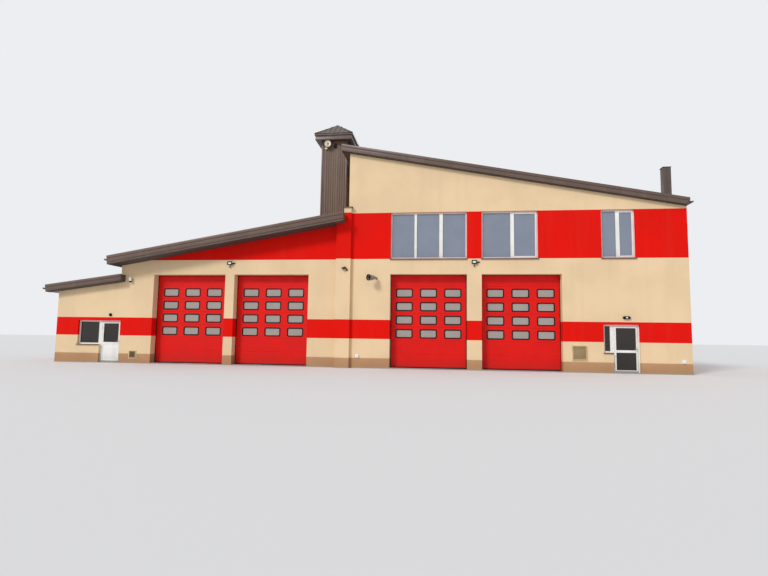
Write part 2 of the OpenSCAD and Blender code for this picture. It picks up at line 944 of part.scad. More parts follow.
// Sectional garage door behind an opening whose left edge is x0, in a wall with its face at y0.
// V grooves part its sections on both faces
module garage_door(x0, w, y0) {
    y = y0 + wall_t;
    door_x0 = x0 - panel_lap;
    door_x1 = x0 + w + panel_lap;
    groove_w = section_groove / sqrt(2);
    grooves = floor((garage_h - floor_t) / section_h);
    color(red_col)
        difference() {
            block([door_x0, y, floor_t], [door_x1, y + panel_t, garage_h + panel_lap]);
            for (i = [1:grooves], groove_y = [y, y + panel_t])
                translate([door_x0 - cut, groove_y, floor_t + i * section_h - section_groove / 2])
                    rotate([45, 0, 0])
                        cube([door_x1 - door_x0 + 2 * cut, groove_w, groove_w]);
            door_window_holes(x0, w, y);
        }
}

module garage_door_1() {
    garage_door(door_1_x, low_door_w, low_front_y);
}

module garage_door_2() {
    garage_door(door_2_x, low_door_w, low_front_y);
}

module garage_door_3() {
    garage_door(door_3_x, tall_door_w, front_y);
}

module garage_door_4() {
    garage_door(door_4_x, tall_door_w, front_y);
}

// Glass that closes a garage door's windows from behind
module door_glass(x0, w, y0) {
    glass_y = y0 + wall_t + panel_t;
    glass_z = floor_t + blank_rows * section_h;
    block([x0, glass_y, glass_z], [x0 + w, glass_y + glass_t, glass_z + glazed_rows * section_h]);
}

module garage_door_glass() {
    color(glass_col) {
        door_glass(door_1_x, low_door_w, low_front_y);
        door_glass(door_2_x, low_door_w, low_front_y);
        door_glass(door_3_x, tall_door_w, front_y);
        door_glass(door_4_x, tall_door_w, front_y);
    }
}

// Frame of one upper window with its front face at y, parted into equal lights by its mullions
module window_frame(x0, w, mullions, y) {
    n = len(mullions);
    light_w = (w - 2 * frame_w - sum_to(mullions, n)) / (n + 1);
    difference() {
        block([x0, y, window_z], [x0 + w, y + frame_t, window_z + window_h]);
        for (i = [0:n])
            translate([x0 + frame_w + i * light_w + sum_to(mullions, i), y - cut, window_z + frame_w])
                cube([light_w, frame_t + 2 * cut, window_h - 2 * frame_w]);
    }
}

module upper_window_frames() {
    color(white_col)
        for (w = upper_windows, y = [front_y + frame_recess, rear_y - frame_recess - frame_t])
            window_frame(w[0], w[1], w[2], y);
}

// Pane set in the middle of a frame's thickness
module pane(x0, x1, z0, z1, y) {
    pane_y = y + (frame_t - glass_t) / 2;
    block([x0, pane_y, z0], [x1, pane_y + glass_t, z1]);
}

// Fixed glass: one sheet behind each upper window's frame, and the two side windows' panes
module window_glass() {
    front_glass_y = front_y + frame_recess + frame_t;
    rear_glass_y = rear_y - frame_recess - frame_t - glass_t;
    color(glass_col) {
        for (w = upper_windows, y = [front_glass_y, rear_glass_y])
            block([w[0], y, window_z], [w[0] + w[1], y + glass_t, window_z + window_h]);
        pane(
            entrance_x0 + frame_w, entrance_leaf_x0 - leaf_gap - post_w,
            entrance_sill_z + frame_w, entrance_h - frame_w, front_y + frame_recess
        );
        pane(
            annex_door_x0 + frame_w, annex_leaf_x0 - leaf_gap - post_w,
            annex_sill_z + frame_w, annex_door_h - frame_w, low_front_y + frame_recess
        );
    }
}

// Sill below an opening, in front of the wall face at y
module sill(x0, x1, z, y, s) {
    y1 = y + s * sill_out;
    block([x0 - sill_over, min(y, y1), z - sill_h], [x1 + sill_over, max(y, y1), z]);
}

module window_sills() {
    color(trim_col) {
        for (w = upper_windows) {
            sill(w[0], w[0] + w[1], window_z, front_y, -1);
            sill(w[0], w[0] + w[1], window_z, rear_y, 1);
        }
        sill(entrance_x0, entrance_foot_x - sill_over, entrance_sill_z, front_y, -1);
        sill(annex_door_x0, annex_foot_x - sill_over, annex_sill_z, low_front_y, -1);
    }
}

// Heights of the two hinges of a leaf that ends at leaf_z1
function hinge_heights(leaf_z1) = [leaf_z0 + 2 * hinge_h, leaf_z1 - 3 * hinge_h];

// Half of a hinge on the axis beside a leaf's edge x0: the knuckle, and the strap that carries it on
// the leaf (side 1) or on the frame (side -1), from the height z to the height z + h
module knuckle(x0, y, z, h, side) {
    axis_x = x0 - leaf_gap / 2;
    strap_x = axis_x + side * (leaf_gap / 2 + 2 * hinge_r);
    translate([axis_x, y - hinge_off, z])
        cylinder(r = hinge_r, h = h, $fn = bend_fn);
    block([min(axis_x, strap_x), y - hinge_off, z], [max(axis_x, strap_x), y, z + h]);
}

// Frame of a door with a side window at its left, with its front face at y
module door_frame(x0, x1, leaf_x0, leaf_x1, sill_z, top_z, y) {
    post_x = leaf_x0 - leaf_gap - post_w;
    foot_x = leaf_x0 - leaf_gap - frame_w;
    difference() {
        block([x0, y, floor_t], [x1, y + frame_t, top_z]);
        block(
            [leaf_x0 - leaf_gap, y - cut, floor_t + threshold_h],
            [leaf_x1 + lock_gap, y + frame_t + cut, top_z - frame_w]
        );
        block([x0 + frame_w, y - cut, sill_z + frame_w], [post_x, y + frame_t + cut, top_z - frame_w]);
        block([x0 - cut, y - cut, floor_t - cut], [foot_x, y + frame_t + cut, sill_z]);
    }
    for (z = hinge_heights(top_z - frame_w - leaf_gap))
        knuckle(leaf_x0, y, z, (hinge_h - hinge_gap) / 2, -1);
}

module entrance_frame() {
    color(white_col)
        union()
            door_frame(
                entrance_x0, entrance_x1, entrance_leaf_x0, entrance_leaf_x1,
                entrance_sill_z, entrance_h, front_y + frame_recess
            );
}

module annex_frame() {
    color(white_col)
        union()
            door_frame(
                annex_door_x0, annex_door_x1, annex_leaf_x0, annex_leaf_x1,
                annex_sill_z, annex_door_h, low_front_y + frame_recess
            );
}

// Lever handle on a round rose, in front of the face at y on the side s (-1 outside, 1 inside)
module handle(x, y, s) {
    translate([x, y, handle_z])
        rotate([-90 * s, 0, 0]) {
            cylinder(r = rose_r, h = lever_r, $fn = bend_fn);
            cylinder(r = lever_r, h = handle_out, $fn = rod_fn);
        }
    translate([x + lever_r, y + s * (handle_out - lever_r), handle_z])
        rotate([0, -90, 0])
            cylinder(r = lever_r, h = lever_l, $fn = rod_fn);
}

// Leaf with a glazed bay above its middle rail. The bay below is glazed too, or a recessed panel
module door_leaf(x0, x1, top_z, y, panelled) {
    leaf_z1 = top_z - frame_w - leaf_gap;
    rail_half = stile_w / 2;
    foot_y = panelled ? y + panel_inset : y + frame_t + cut;
    difference() {
        block([x0, y, leaf_z0], [x1, y + frame_t, leaf_z1]);
        block(
            [x0 + stile_w, y - cut, mid_rail_z + rail_half],
            [x1 - stile_w, y + frame_t + cut, leaf_z1 - stile_w]
        );
        block(
            [x0 + stile_w, y - cut, leaf_z0 + kick_rail_h],
            [x1 - stile_w, foot_y, mid_rail_z - rail_half]
        );
    }
    for (z = hinge_heights(leaf_z1))
        knuckle(x0, y, z + (hinge_h + hinge_gap) / 2, (hinge_h - hinge_gap) / 2, 1);
    handle(x1 - rail_half, y, -1);
    handle(x1 - rail_half, y + frame_t, 1);
}

module entrance_leaf() {
    color(white_col)
        union()
            door_leaf(entrance_leaf_x0, entrance_leaf_x1, entrance_h, front_y + frame_recess, false);
}

module annex_leaf() {
    color(white_col)
        union()
            door_leaf(annex_leaf_x0, annex_leaf_x1, annex_door_h, low_front_y + frame_recess, true);
}

module entrance_leaf_glass() {
    x0 = entrance_leaf_x0 + stile_w;
    x1 = entrance_leaf_x1 - stile_w;
    y = front_y + frame_recess;
    color(glass_col) {
        pane(x0, x1, mid_rail_z + stile_w / 2, entrance_h - frame_w - leaf_gap - stile_w, y);
        pane(x0, x1, leaf_z0 + kick_rail_h, mid_rail_z - stile_w / 2, y);
    }
}

module annex_leaf_glass() {
    color(glass_col)
        pane(
            annex_leaf_x0 + stile_w, annex_leaf_x1 - stile_w, mid_rail_z + stile_w / 2,
            annex_door_h - frame_w - leaf_gap - stile_w, low_front_y + frame_recess
        );
}

// One slat that rises from the middle of a grille's depth to its back
module slat(x0, w, y, depth, z, rise, t) {
    translate([x0, y, z])
        rotate([90, 0, 90])
            linear_extrude(height = w)
                polygon([[-depth / 2, 0], [-depth / 2, t], [-t, rise], [-t, rise - t]]);
}

// Grille of n sloping slats in a frame, on the wall face at y
module grille(x0, z0, w, h, y, n) {
    rim = w / 16;
    grille_t = w / 12;
    slat_t = grille_t / 10;
    pitch = (h - 2 * rim) / n;
    rise = pitch * 3 / 4;
    difference() {
        block([x0, y - grille_t, z0], [x0 + w, y, z0 + h]);
        block([x0 + rim, y - grille_t - cut, z0 + rim], [x0 + w - rim, y - slat_t, z0 + h - rim]);
    }
    for (i = [0:n - 1])
        slat(x0 + rim / 2, w - rim, y, grille_t, z0 + rim + (i + 1 / 2) * pitch - rise / 2, rise, slat_t);
}

// Vent with n upright bars in a frame, on the wall face at y
module barred_vent(x0, z0, w, y, n) {
    rim = w / 10;
    vent_t = w / 8;
    back_t = vent_t / 6;
    pitch = (w - 2 * rim) / (n + 1);
    difference() {
        block([x0, y - vent_t, z0], [x0 + w, y, z0 + w]);
        block([x0 + rim, y - vent_t - cut, z0 + rim], [x0 + w - rim, y - back_t, z0 + w - rim]);
    }
    for (i = [1:n])
        translate([x0 + rim + i * pitch, y - vent_t * 2 / 3, z0 + rim / 2])
            cylinder(d = pitch / 4, h = w - rim, $fn = bend_fn);
}

module wall_grilles() {
    color(grey_col) {
        union()
            grille(door_4_x1 + grille_x, grille_z, grille_w, grille_h, front_y, slat_count);
        union()
            barred_vent(annex_door_x1 + vent_x, vent_z, vent_w, low_front_y, vent_bars);
    }
}

// Oval wall lamp on the face at y: a base plate and a smaller dome
module oval_lamp(x, z, y) {
    rim_t = oval_t / 3;
    translate([x, y, z])
        rotate([90, 0, 0]) {
            linear_extrude(height = rim_t)
                round_rect(oval_w, oval_h, oval_h / 2 - cut);
            linear_extrude(height = oval_t)
                round_rect(oval_w * 3 / 4, oval_h * 2 / 3, oval_h / 3 - cut);
        }
}

// Round wall light with its axis upright, on a bracket from the face at y
module round_light(x, y) {
    bracket_h = light_h / 3;
    translate([x, y - light_out, light_z])
        cylinder(d = light_d, h = light_h, $fn = bend_fn);
    block(
        [x - light_d / 4, y - light_out, light_z + bracket_h],
        [x + light_d / 4, y, light_z + 2 * bracket_h]
    );
}

module wall_lamps() {
    color(grey_col) {
        oval_lamp((entrance_leaf_x0 + entrance_leaf_x1) / 2, entrance_h + lamp_rise, front_y);
        oval_lamp((annex_leaf_x0 + annex_leaf_x1) / 2, annex_door_h + lamp_rise, low_front_y);
        oval_lamp(door_2_x - low_pier_w / 2, garage_h + lamp_head, low_front_y);
        oval_lamp(door_4_x - tall_pier_w / 2, garage_h + lamp_head, front_y);
        union()
            round_light(annex_door_x1 + light_x, low_front_y);
    }
}

// Horn along +Z from its back to its mouth at l: a driver, and a flared shell with a wall t thick
module horn_body(r, l) {
    throat_r = r / 3;
    driver_r = r / 2;
    driver_l = l * 2 / 5;
    t = r / 20;
    difference() {
        union() {
            cylinder(r = driver_r, h = driver_l, $fn = round_fn);
            translate([0, 0, driver_l])
                cylinder(r1 = throat_r, r2 = r, h = l - driver_l, $fn = round_fn);
        }
        translate([0, 0, driver_l])
            cylinder(r1 = throat_r - t, r2 = r - t, h = l - driver_l, $fn = round_fn);
    }
}

// Wall horn that points to the left, and the tower's siren that points to the front
module horns() {
    lean = 15;
    axis_y = front_y - horn_r - cut;
    axis_z = garage_h - horn_drop;
    back_x = pilaster_x1 + horn_x + horn_l;
    siren_x = tower_x0 + 2 * siren_r;
    color(grey_col) {
        union() {
            translate([back_x, axis_y, axis_z])
                rotate([0, -90, lean])
                    horn_body(horn_r, horn_l);
            block(
                [back_x - horn_l / 4, axis_y, axis_z - horn_r / 4],
                [back_x - horn_l / 8, front_y, axis_z + horn_r / 4]
            );
        }
        translate([siren_x, tower_front_y, tower_eave_z - siren_drop])
            rotate([90, 0, 0])
                horn_body(siren_r, siren_out);
    }
}

// Camera on the pilaster, and two socket boxes near the ground
module wall_boxes() {
    camera_r = camera_l / 5;
    camera_y = pilaster_y - 2 * camera_r;
    camera_x = pilaster_x1 - pilaster_w / 3;
    camera_z = garage_h + camera_rise;
    color(grey_col) {
        union() {
            translate([camera_x, camera_y, camera_z])
                rotate([0, -90, 0])
                    cylinder(r = camera_r, h = camera_l, center = true, $fn = bend_fn);
            block(
                [camera_x, camera_y, camera_z - camera_r / 2],
                [camera_x + camera_r, pilaster_y, camera_z + camera_r / 2]
            );
        }
        for (x = [pilaster_x1 + socket_x, tall_x1 - socket_x])
            block(
                [x - socket_w / 2, front_y - socket_w / 2, socket_z - socket_w / 2],
                [x + socket_w / 2, front_y, socket_z + socket_w / 2]
            );
    }
}

ground_slab();
upper_floor();
tall_front_piers();
tall_front_wall();
entrance_wall();
tall_rear_wall();
tall_side_walls();
fire_wall();
fire_wall_head();
pilaster();
fire_wall_coping();
low_front_piers();
low_front_wall();
low_rear_wall();
low_left_wall();
annex_front_pier();
annex_front_wall();
annex_left_wall();
annex_rear_wall();
tall_roof();
low_roof();
annex_roof();
verge_boards();
gutters();
downpipes();
tower_walls();
tower_roof();
flue();
garage_door_1();
garage_door_2();
garage_door_3();
garage_door_4();
garage_door_glass();
upper_window_frames();
window_glass();
window_sills();
entrance_frame();
entrance_leaf();
entrance_leaf_glass();
annex_frame();
annex_leaf();
annex_leaf_glass();
wall_grilles();
wall_lamps();
horns();
wall_boxes();
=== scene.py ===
"""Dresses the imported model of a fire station.

The station stands in one row along the street: an annex, a low garage block with a hose tower, and
a tall block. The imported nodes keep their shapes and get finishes. The pieces that are too fine for
the solids are modelled here: window sashes and panes, door seals, lamp lenses, roof seams,
cladding ribs and gutter straps. All lengths are metres.
"""

import logging
import math
from collections.abc import Callable, Iterable, Iterator, Sequence
from contextlib import contextmanager
from dataclasses import dataclass, replace
from enum import Enum, IntEnum

import bmesh
import bpy
from mathutils import Matrix, Vector


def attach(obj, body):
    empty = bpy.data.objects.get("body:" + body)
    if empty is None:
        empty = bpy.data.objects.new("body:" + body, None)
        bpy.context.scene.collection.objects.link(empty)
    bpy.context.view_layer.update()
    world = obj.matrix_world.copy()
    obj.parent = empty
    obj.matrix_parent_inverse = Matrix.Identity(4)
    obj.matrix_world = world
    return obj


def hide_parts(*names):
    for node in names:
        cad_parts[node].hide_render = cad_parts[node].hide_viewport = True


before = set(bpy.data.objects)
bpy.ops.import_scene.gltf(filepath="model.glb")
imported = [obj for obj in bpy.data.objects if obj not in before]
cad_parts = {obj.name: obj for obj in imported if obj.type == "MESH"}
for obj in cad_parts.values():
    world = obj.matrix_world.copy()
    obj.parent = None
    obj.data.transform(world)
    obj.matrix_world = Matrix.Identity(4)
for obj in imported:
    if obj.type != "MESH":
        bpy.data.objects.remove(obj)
log = logging.getLogger("fire_station")

Span = tuple[float, float]
Point = tuple[float, float, float]
Box = tuple[Point, Point]
Ease = tuple[float, int]
Colour = tuple[float, float, float]
Profile = tuple[Span, ...]
Piece = bpy.types.Object
Socket = bpy.types.NodeSocket
Material = bpy.types.Material

BUILDING = "building"

# Faces of the walls, and the stations of the blocks along the street
FRONT_Y = -5.5
LOW_FRONT_Y = -5.39
REAR_Y = 5.5
WALL_T = 0.42
ANNEX_X0 = -14.4
LOW_X0 = -11.2
FIRE_WALL_X0 = -0.66
TALL_X0 = -0.14
TALL_X1 = 14.4
FLOOR_Z = 0.03
GARAGE_H = 4.2

# How far parts that are joined run into each other, or stand clear of each other
LAP = 0.002
TOUCH = 0.001

# Roundings of edges: width and number of steps
SHARP = (0.0, 0)
FINE = (0.001, 1)
FINE_ROUND = (0.001, 2)
THIN = (0.0015, 1)
CRISP = (0.002, 2)
CRISP_FLAT = (0.002, 1)
SOFT = (0.003, 2)
SOFT_FLAT = (0.003, 1)
FULL = (0.004, 2)

UP = (0.0, 0.0, 1.0)
TO_STREET = (0.0, -1.0, 0.0)


class Slot(Enum):
    """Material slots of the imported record."""

    CONCRETE = "concrete"
    ROOF = "roof_metal"
    VERGE = "verge_board"
    RAINWATER = "rainwater"
    CLADDING = "cladding"
    DOOR = "door_red"
    GLASS = "glass"
    FRAME = "white_frame"
    GRILLE = "grille"
    FITTING = "fitting"


class Look(Enum):
    """Finishes of the station."""

    RENDER = "wall_render"
    ENAMEL = "door_enamel"
    ROOF = "roof_sheet"
    VERGE = "verge_sheet"
    CLADDING = "cladding"
    RAIN = "rain_metal"
    SOFFIT = "soffit"
    WHITE = "white_plastic"
    CREAM = "cream_plastic"
    GREY = "grey_plastic"
    BROWN = "brown_plastic"
    BLACK = "black_plastic"
    RUBBER = "rubber"
    OPAL = "opal"
    STEEL = "steel"
    GRILLE = "grille_paint"
    FLANGE = "flange_paint"
    CONCRETE = "concrete"
    WINDOW_GLASS = "window_glass"
    DOOR_GLASS = "door_glass"
    PANE_GLASS = "pane_glass"


class Effect(Enum):
    """Shader node groups that several finishes share."""

    GRAIN = "surface_grain"
    STAINS = "rain_stains"
    PANELS = "panels"


class Kind(Enum):
    """Socket types of a node group."""

    VALUE = "NodeSocketFloat"
    COLOUR = "NodeSocketColor"
    VECTOR = "NodeSocketVector"


class Pick(Enum):
    """What is selected in edit mode."""

    EDGE = "EDGE"
    FACE = "FACE"


class Axis(IntEnum):
    """Axes of the frame: along the street, to the rear, and up."""

    X = 0
    Y = 1
    Z = 2


def linear(red: int, green: int, blue: int) -> Colour:
    """Gives the scene-linear colour, from 0 to 1, of a display colour, from 0 to 255."""
    shares = [value / 255 for value in (red, green, blue)]
    return tuple(share / 12.92 if share <= 0.04045 else ((share + 0.055) / 1.055) ** 2.4 for share in shares)


def row(axis: Axis, pitch: float, count: int) -> list[Vector]:
    """Gives the shifts of evenly spaced copies.

    Args:
        axis: The axis that they follow.
        pitch: Distance from one copy to the next.
        count: Number of copies. The first is not shifted.

    Returns:
        The shifts.
    """
    shifts = [Vector() for _ in range(count)]
    for step, shift in enumerate(shifts):
        shift[axis] = step * pitch
    return shifts


def shifted(root: Point, *offsets: Point) -> list[Point]:
    """Gives the points that stand at the given offsets from a root."""
    return [tuple(start + step for start, step in zip(root, offset)) for offset in offsets]


@dataclass
class NodeDesk:
    """Adds nodes to one node tree and joins them."""

    tree: bpy.types.NodeTree

    def add(self, kind: str, **settings: object) -> bpy.types.Node:
        """Adds a node.

        Args:
            kind: Type name of the node.
            **settings: Properties of the node, such as its operation.

        Returns:
            The new node.
        """
        node = self.tree.nodes.new(kind)
        for name, value in settings.items():
            setattr(node, name, value)
        return node

    def feed(self, socket: Socket, value: object) -> None:
        """Puts a number, a colour or another node's output into an input.

        Args:
            socket: The input.
            value: What goes into it.
        """
        if isinstance(value, Socket):
            self.tree.links.new(value, socket)
        elif isinstance(value, tuple) and len(value) == 3 and socket.type == "RGBA":
            socket.default_value = (*value, 1.0)
        else:
            socket.default_value = value

    def math(self, operation: str, *values: object, clamp: bool = False) -> Socket:
        """Joins values by a Math node.

        Args:
            operation: Name of the node's operation.
            *values: One to three numbers or outputs.
            clamp: Whether the result is kept between 0 and 1.

        Returns:
            The node's output.
        """
        node = self.add("ShaderNodeMath", operation=operation, use_clamp=clamp)
        for socket, value in zip(node.inputs, values):
            self.feed(socket, value)
        return node.outputs[0]

    def product(self, first: object, *others: object) -> Socket:
        """Multiplies two or more values.

        Args:
            first: The first value.
            *others: The others.

        Returns:
            Their product.
        """
        for other in others:
            first = self.math("MULTIPLY", first, other)
        return first

    def within(self, value: object, low: float, high: float) -> Socket:
        """Gives 1 where a value lies between two bounds, and 0 elsewhere."""
        return self.product(self.math("GREATER_THAN", value, low), self.math("LESS_THAN", value, high))

    def blend(self, share: object, first: object, second: object) -> Socket:
        """Mixes two colours.

        Args:
            share: Share of the second colour.
            first: The first colour.
            second: The second colour.

        Returns:
            The mixed colour.
        """
        node = self.add("ShaderNodeMix", data_type="RGBA", clamp_factor=True)
        for key, value in (("Factor", share), (6, first), (7, second)):
            self.feed(node.inputs[key], value)
        return node.outputs[2]

    def ramp(self, value: object, source: Span, target: Span) -> Socket:
        """Maps a range of values smoothly on to another range.

        Args:
            value: The value that is mapped.
            source: Its range.
            target: The range that it is mapped on to.

        Returns:
            The mapped value.
        """
        node = self.add("ShaderNodeMapRange", interpolation_type="SMOOTHSTEP", clamp=True)
        for socket, number in zip(node.inputs, (value, *source, *target)):
            self.feed(socket, number)
        return node.outputs[0]

    def noise(self, place: object, scale: object, detail: float) -> Socket:
        """Gives the value of a noise texture.

        Args:
            place: Where it is read.
            scale: Its scale.
            detail: Its number of finer layers.

        Returns:
            The value.
        """
        node = self.add("ShaderNodeTexNoise")
        for label, value in {"Vector": place, "Scale": scale, "Detail": detail}.items():
            self.feed(node.inputs[label], value)
        return node.outputs["Fac"]

    def place(self) -> Socket:
        """Gives the place on the piece, in metres."""
        return self.add("ShaderNodeTexCoord").outputs["Object"]

    def axes(self, vector: object) -> bpy.types.NodeOutputs:
        """Splits a vector and gives its X, Y and Z outputs.

        Args:
            vector: The vector.

        Returns:
            The outputs.
        """
        node = self.add("ShaderNodeSeparateXYZ")
        self.feed(node.inputs[0], vector)
        return node.outputs


class Effects:
    """Shader node groups that several finishes share."""

    FINE_DETAIL = 3.0
    SLOW_DETAIL = 5.0
    SLOW_RANGE = (0.3, 0.7)
    RUN_STRETCH = (3.2, 3.2, 0.16)
    RUN_DETAIL = 4.0
    RUN_RANGE = (0.48, 0.75)
    SPLASH_SCALE = 2.2
    SPLASH_DETAIL = 3.0
    SPLASH_WAVE = 0.5
    SPLASH_RANGE = (-0.1, 0.35)

    @staticmethod
    def _start(
        effect: Effect, inputs: dict[str, tuple[Kind, object]], outputs: dict[str, Kind]
    ) -> tuple[NodeDesk, bpy.types.NodeOutputs, bpy.types.NodeInputs]:
        """Makes an empty group with its sockets.

        Args:
            effect: The effect that the group is for.
            inputs: Socket type and default value of each input.
            outputs: Socket type of each output.

        Returns:
            A desk for the group's tree, what comes into the group, and where its results go.
        """
        desk = NodeDesk(bpy.data.node_groups.new(effect.value, "ShaderNodeTree"))
        for label, (kind, value) in inputs.items():
            socket = desk.tree.interface.new_socket(label, in_out="INPUT", socket_type=kind.value)
            socket.default_value = value
        for label, kind in outputs.items():
            desk.tree.interface.new_socket(label, in_out="OUTPUT", socket_type=kind.value)
        return desk, desk.add("NodeGroupInput").outputs, desk.add("NodeGroupOutput").inputs

    @classmethod
    def grain(cls) -> bpy.types.NodeTree:
        """Makes the group for a fine grain and a slow change of tone.

        Returns:
            The group.
        """
        desk, given, result = cls._start(
            Effect.GRAIN,
            {"Size": (Kind.VALUE, 0.004), "Patch": (Kind.VALUE, 1.2)},
            {"Height": Kind.VALUE, "Tone": Kind.VALUE},
        )
        place = desk.place()
        fine = desk.noise(place, desk.math("DIVIDE", 1.0, given["Size"]), cls.FINE_DETAIL)
        slow = desk.noise(place, desk.math("DIVIDE", 1.0, given["Patch"]), cls.SLOW_DETAIL)
        desk.feed(result["Height"], fine)
        desk.feed(result["Tone"], desk.ramp(slow, cls.SLOW_RANGE, (0.0, 1.0)))
        return desk.tree

    @classmethod
    def stains(cls) -> bpy.types.NodeTree:
        """Makes the group that tints a colour by rain runs and by splashes near the ground.

        Returns:
            The group.
        """
        desk, given, result = cls._start(
            Effect.STAINS,
            {
                "Color": (Kind.COLOUR, (0.8, 0.8, 0.8, 1.0)),
                "Stain": (Kind.COLOUR, (0.2, 0.17, 0.14, 1.0)),
                "Runs": (Kind.VALUE, 0.1),
                "Splash": (Kind.VALUE, 0.3),
            },
            {"Color": Kind.COLOUR},
        )
        place = desk.place()
        stretch = desk.add("ShaderNodeMapping")
        desk.feed(stretch.inputs["Vector"], place)
        stretch.inputs["Scale"].default_value = cls.RUN_STRETCH
        runs = desk.ramp(desk.noise(stretch.outputs[0], 1.0, cls.RUN_DETAIL), cls.RUN_RANGE, (0.0, 1.0))
        wave = desk.product(desk.noise(place, cls.SPLASH_SCALE, cls.SPLASH_DETAIL), cls.SPLASH_WAVE)
        height = desk.math("SUBTRACT", desk.axes(place)["Z"], wave)
        splash = desk.ramp(height, cls.SPLASH_RANGE, (1.0, 0.0))
        marks = (desk.product(runs, given["Runs"]), desk.product(splash, given["Splash"]))
        mask = desk.math("MAXIMUM", *marks, clamp=True)
        desk.feed(result["Color"], desk.blend(mask, given["Color"], given["Stain"]))
        return desk.tree

    @classmethod
    def panels(cls) -> bpy.types.NodeTree:
        """Makes the group that gives each of the evenly spaced panels along one direction its own tone.

        Returns:
            The group.
        """
        desk, given, result = cls._start(
            Effect.PANELS,
            {"Direction": (Kind.VECTOR, (0.0, 0.0, 1.0)), "Pitch": (Kind.VALUE, 0.1)},
            {"Field": Kind.VALUE},
        )
        along = desk.add("ShaderNodeVectorMath", operation="DOT_PRODUCT")
        desk.feed(along.inputs[0], desk.place())
        desk.feed(along.inputs[1], given["Direction"])
        turn = desk.math("DIVIDE", along.outputs["Value"], given["Pitch"])
        tone = desk.add("ShaderNodeTexWhiteNoise", noise_dimensions="1D")
        desk.feed(tone.inputs["W"], desk.math("FLOOR", turn))
        desk.feed(result["Field"], tone.outputs["Value"])
        return desk.tree


@dataclass
class Canvas(NodeDesk):
    """One material under work: its node tree, its shader and the shared effects."""

    material: Material
    effects: dict[Effect, bpy.types.NodeTree]

    def grain(self, size: float, patch: float) -> bpy.types.NodeOutputs:
        """Places the grain: the size of its grains and of its patches of one tone are in metres."""
        return self.place_effect(Effect.GRAIN, Size=size, Patch=patch)

    def stain(self, colour: object, stain: Colour, runs: float, splash: float) -> Socket:
        """Tints a colour by rain runs and splashes of the given strengths."""
        return self.place_effect(Effect.STAINS, Color=colour, Stain=stain, Runs=runs, Splash=splash)["Color"]

    def place_effect(self, effect: Effect, **values: object) -> bpy.types.NodeOutputs:
        """Places a shared effect in the material.

        Args:
            effect: The effect.
            **values: What goes into its inputs, by name.

        Returns:
            The outputs of the placed group.
        """
        node = self.add("ShaderNodeGroup", node_tree=self.effects[effect])
        for label, value in values.items():
            self.feed(node.inputs[label], value)
        return node.outputs

    def finish(
        self, colour: object, rough: tuple[object, Span], relief: tuple[object, float, float], plain: dict[str, float]
    ) -> Material:
        """Leads the results to the shader.

        Args:
            colour: The base colour.
            rough: A tone from 0 to 1, and the range of roughness that it is mapped on to.
            relief: Height from 0 to 1, depth in metres of a full step, and strength of the bump.
            plain: Values that are the same all over, by the name of their input.

        Returns:
            The material.
        """
        sockets = self.tree.nodes["Principled BSDF"].inputs
        self.feed(sockets["Base Color"], colour)
        self.feed(sockets["Roughness"], self.ramp(rough[0], (0.0, 1.0), rough[1]))
        bump = self.add("ShaderNodeBump")
        for label, value in zip(("Height", "Distance", "Strength"), relief):
            self.feed(bump.inputs[label], value)
        self.feed(sockets["Normal"], bump.outputs["Normal"])
        for label, value in plain.items():
            sockets[label].default_value = value
        return self.material


@dataclass
class Workshop:
    """Holds the shared effects and starts the materials that use them."""

    effects: dict[Effect, bpy.types.NodeTree]

    @classmethod
    def open(cls) -> "Workshop":
        """Builds each shared effect once."""
        makers = {Effect.GRAIN: Effects.grain, Effect.STAINS: Effects.stains, Effect.PANELS: Effects.panels}
        return cls({effect: make() for effect, make in makers.items()})

    def start(self, look: Look) -> Canvas:
        """Starts a material with one Principled shader.

        Args:
            look: The finish that it is for.

        Returns:
            The canvas of the material.
        """
        material = bpy.data.materials.new(look.value)
        material.use_nodes = True
        return Canvas(material.node_tree, material, self.effects)


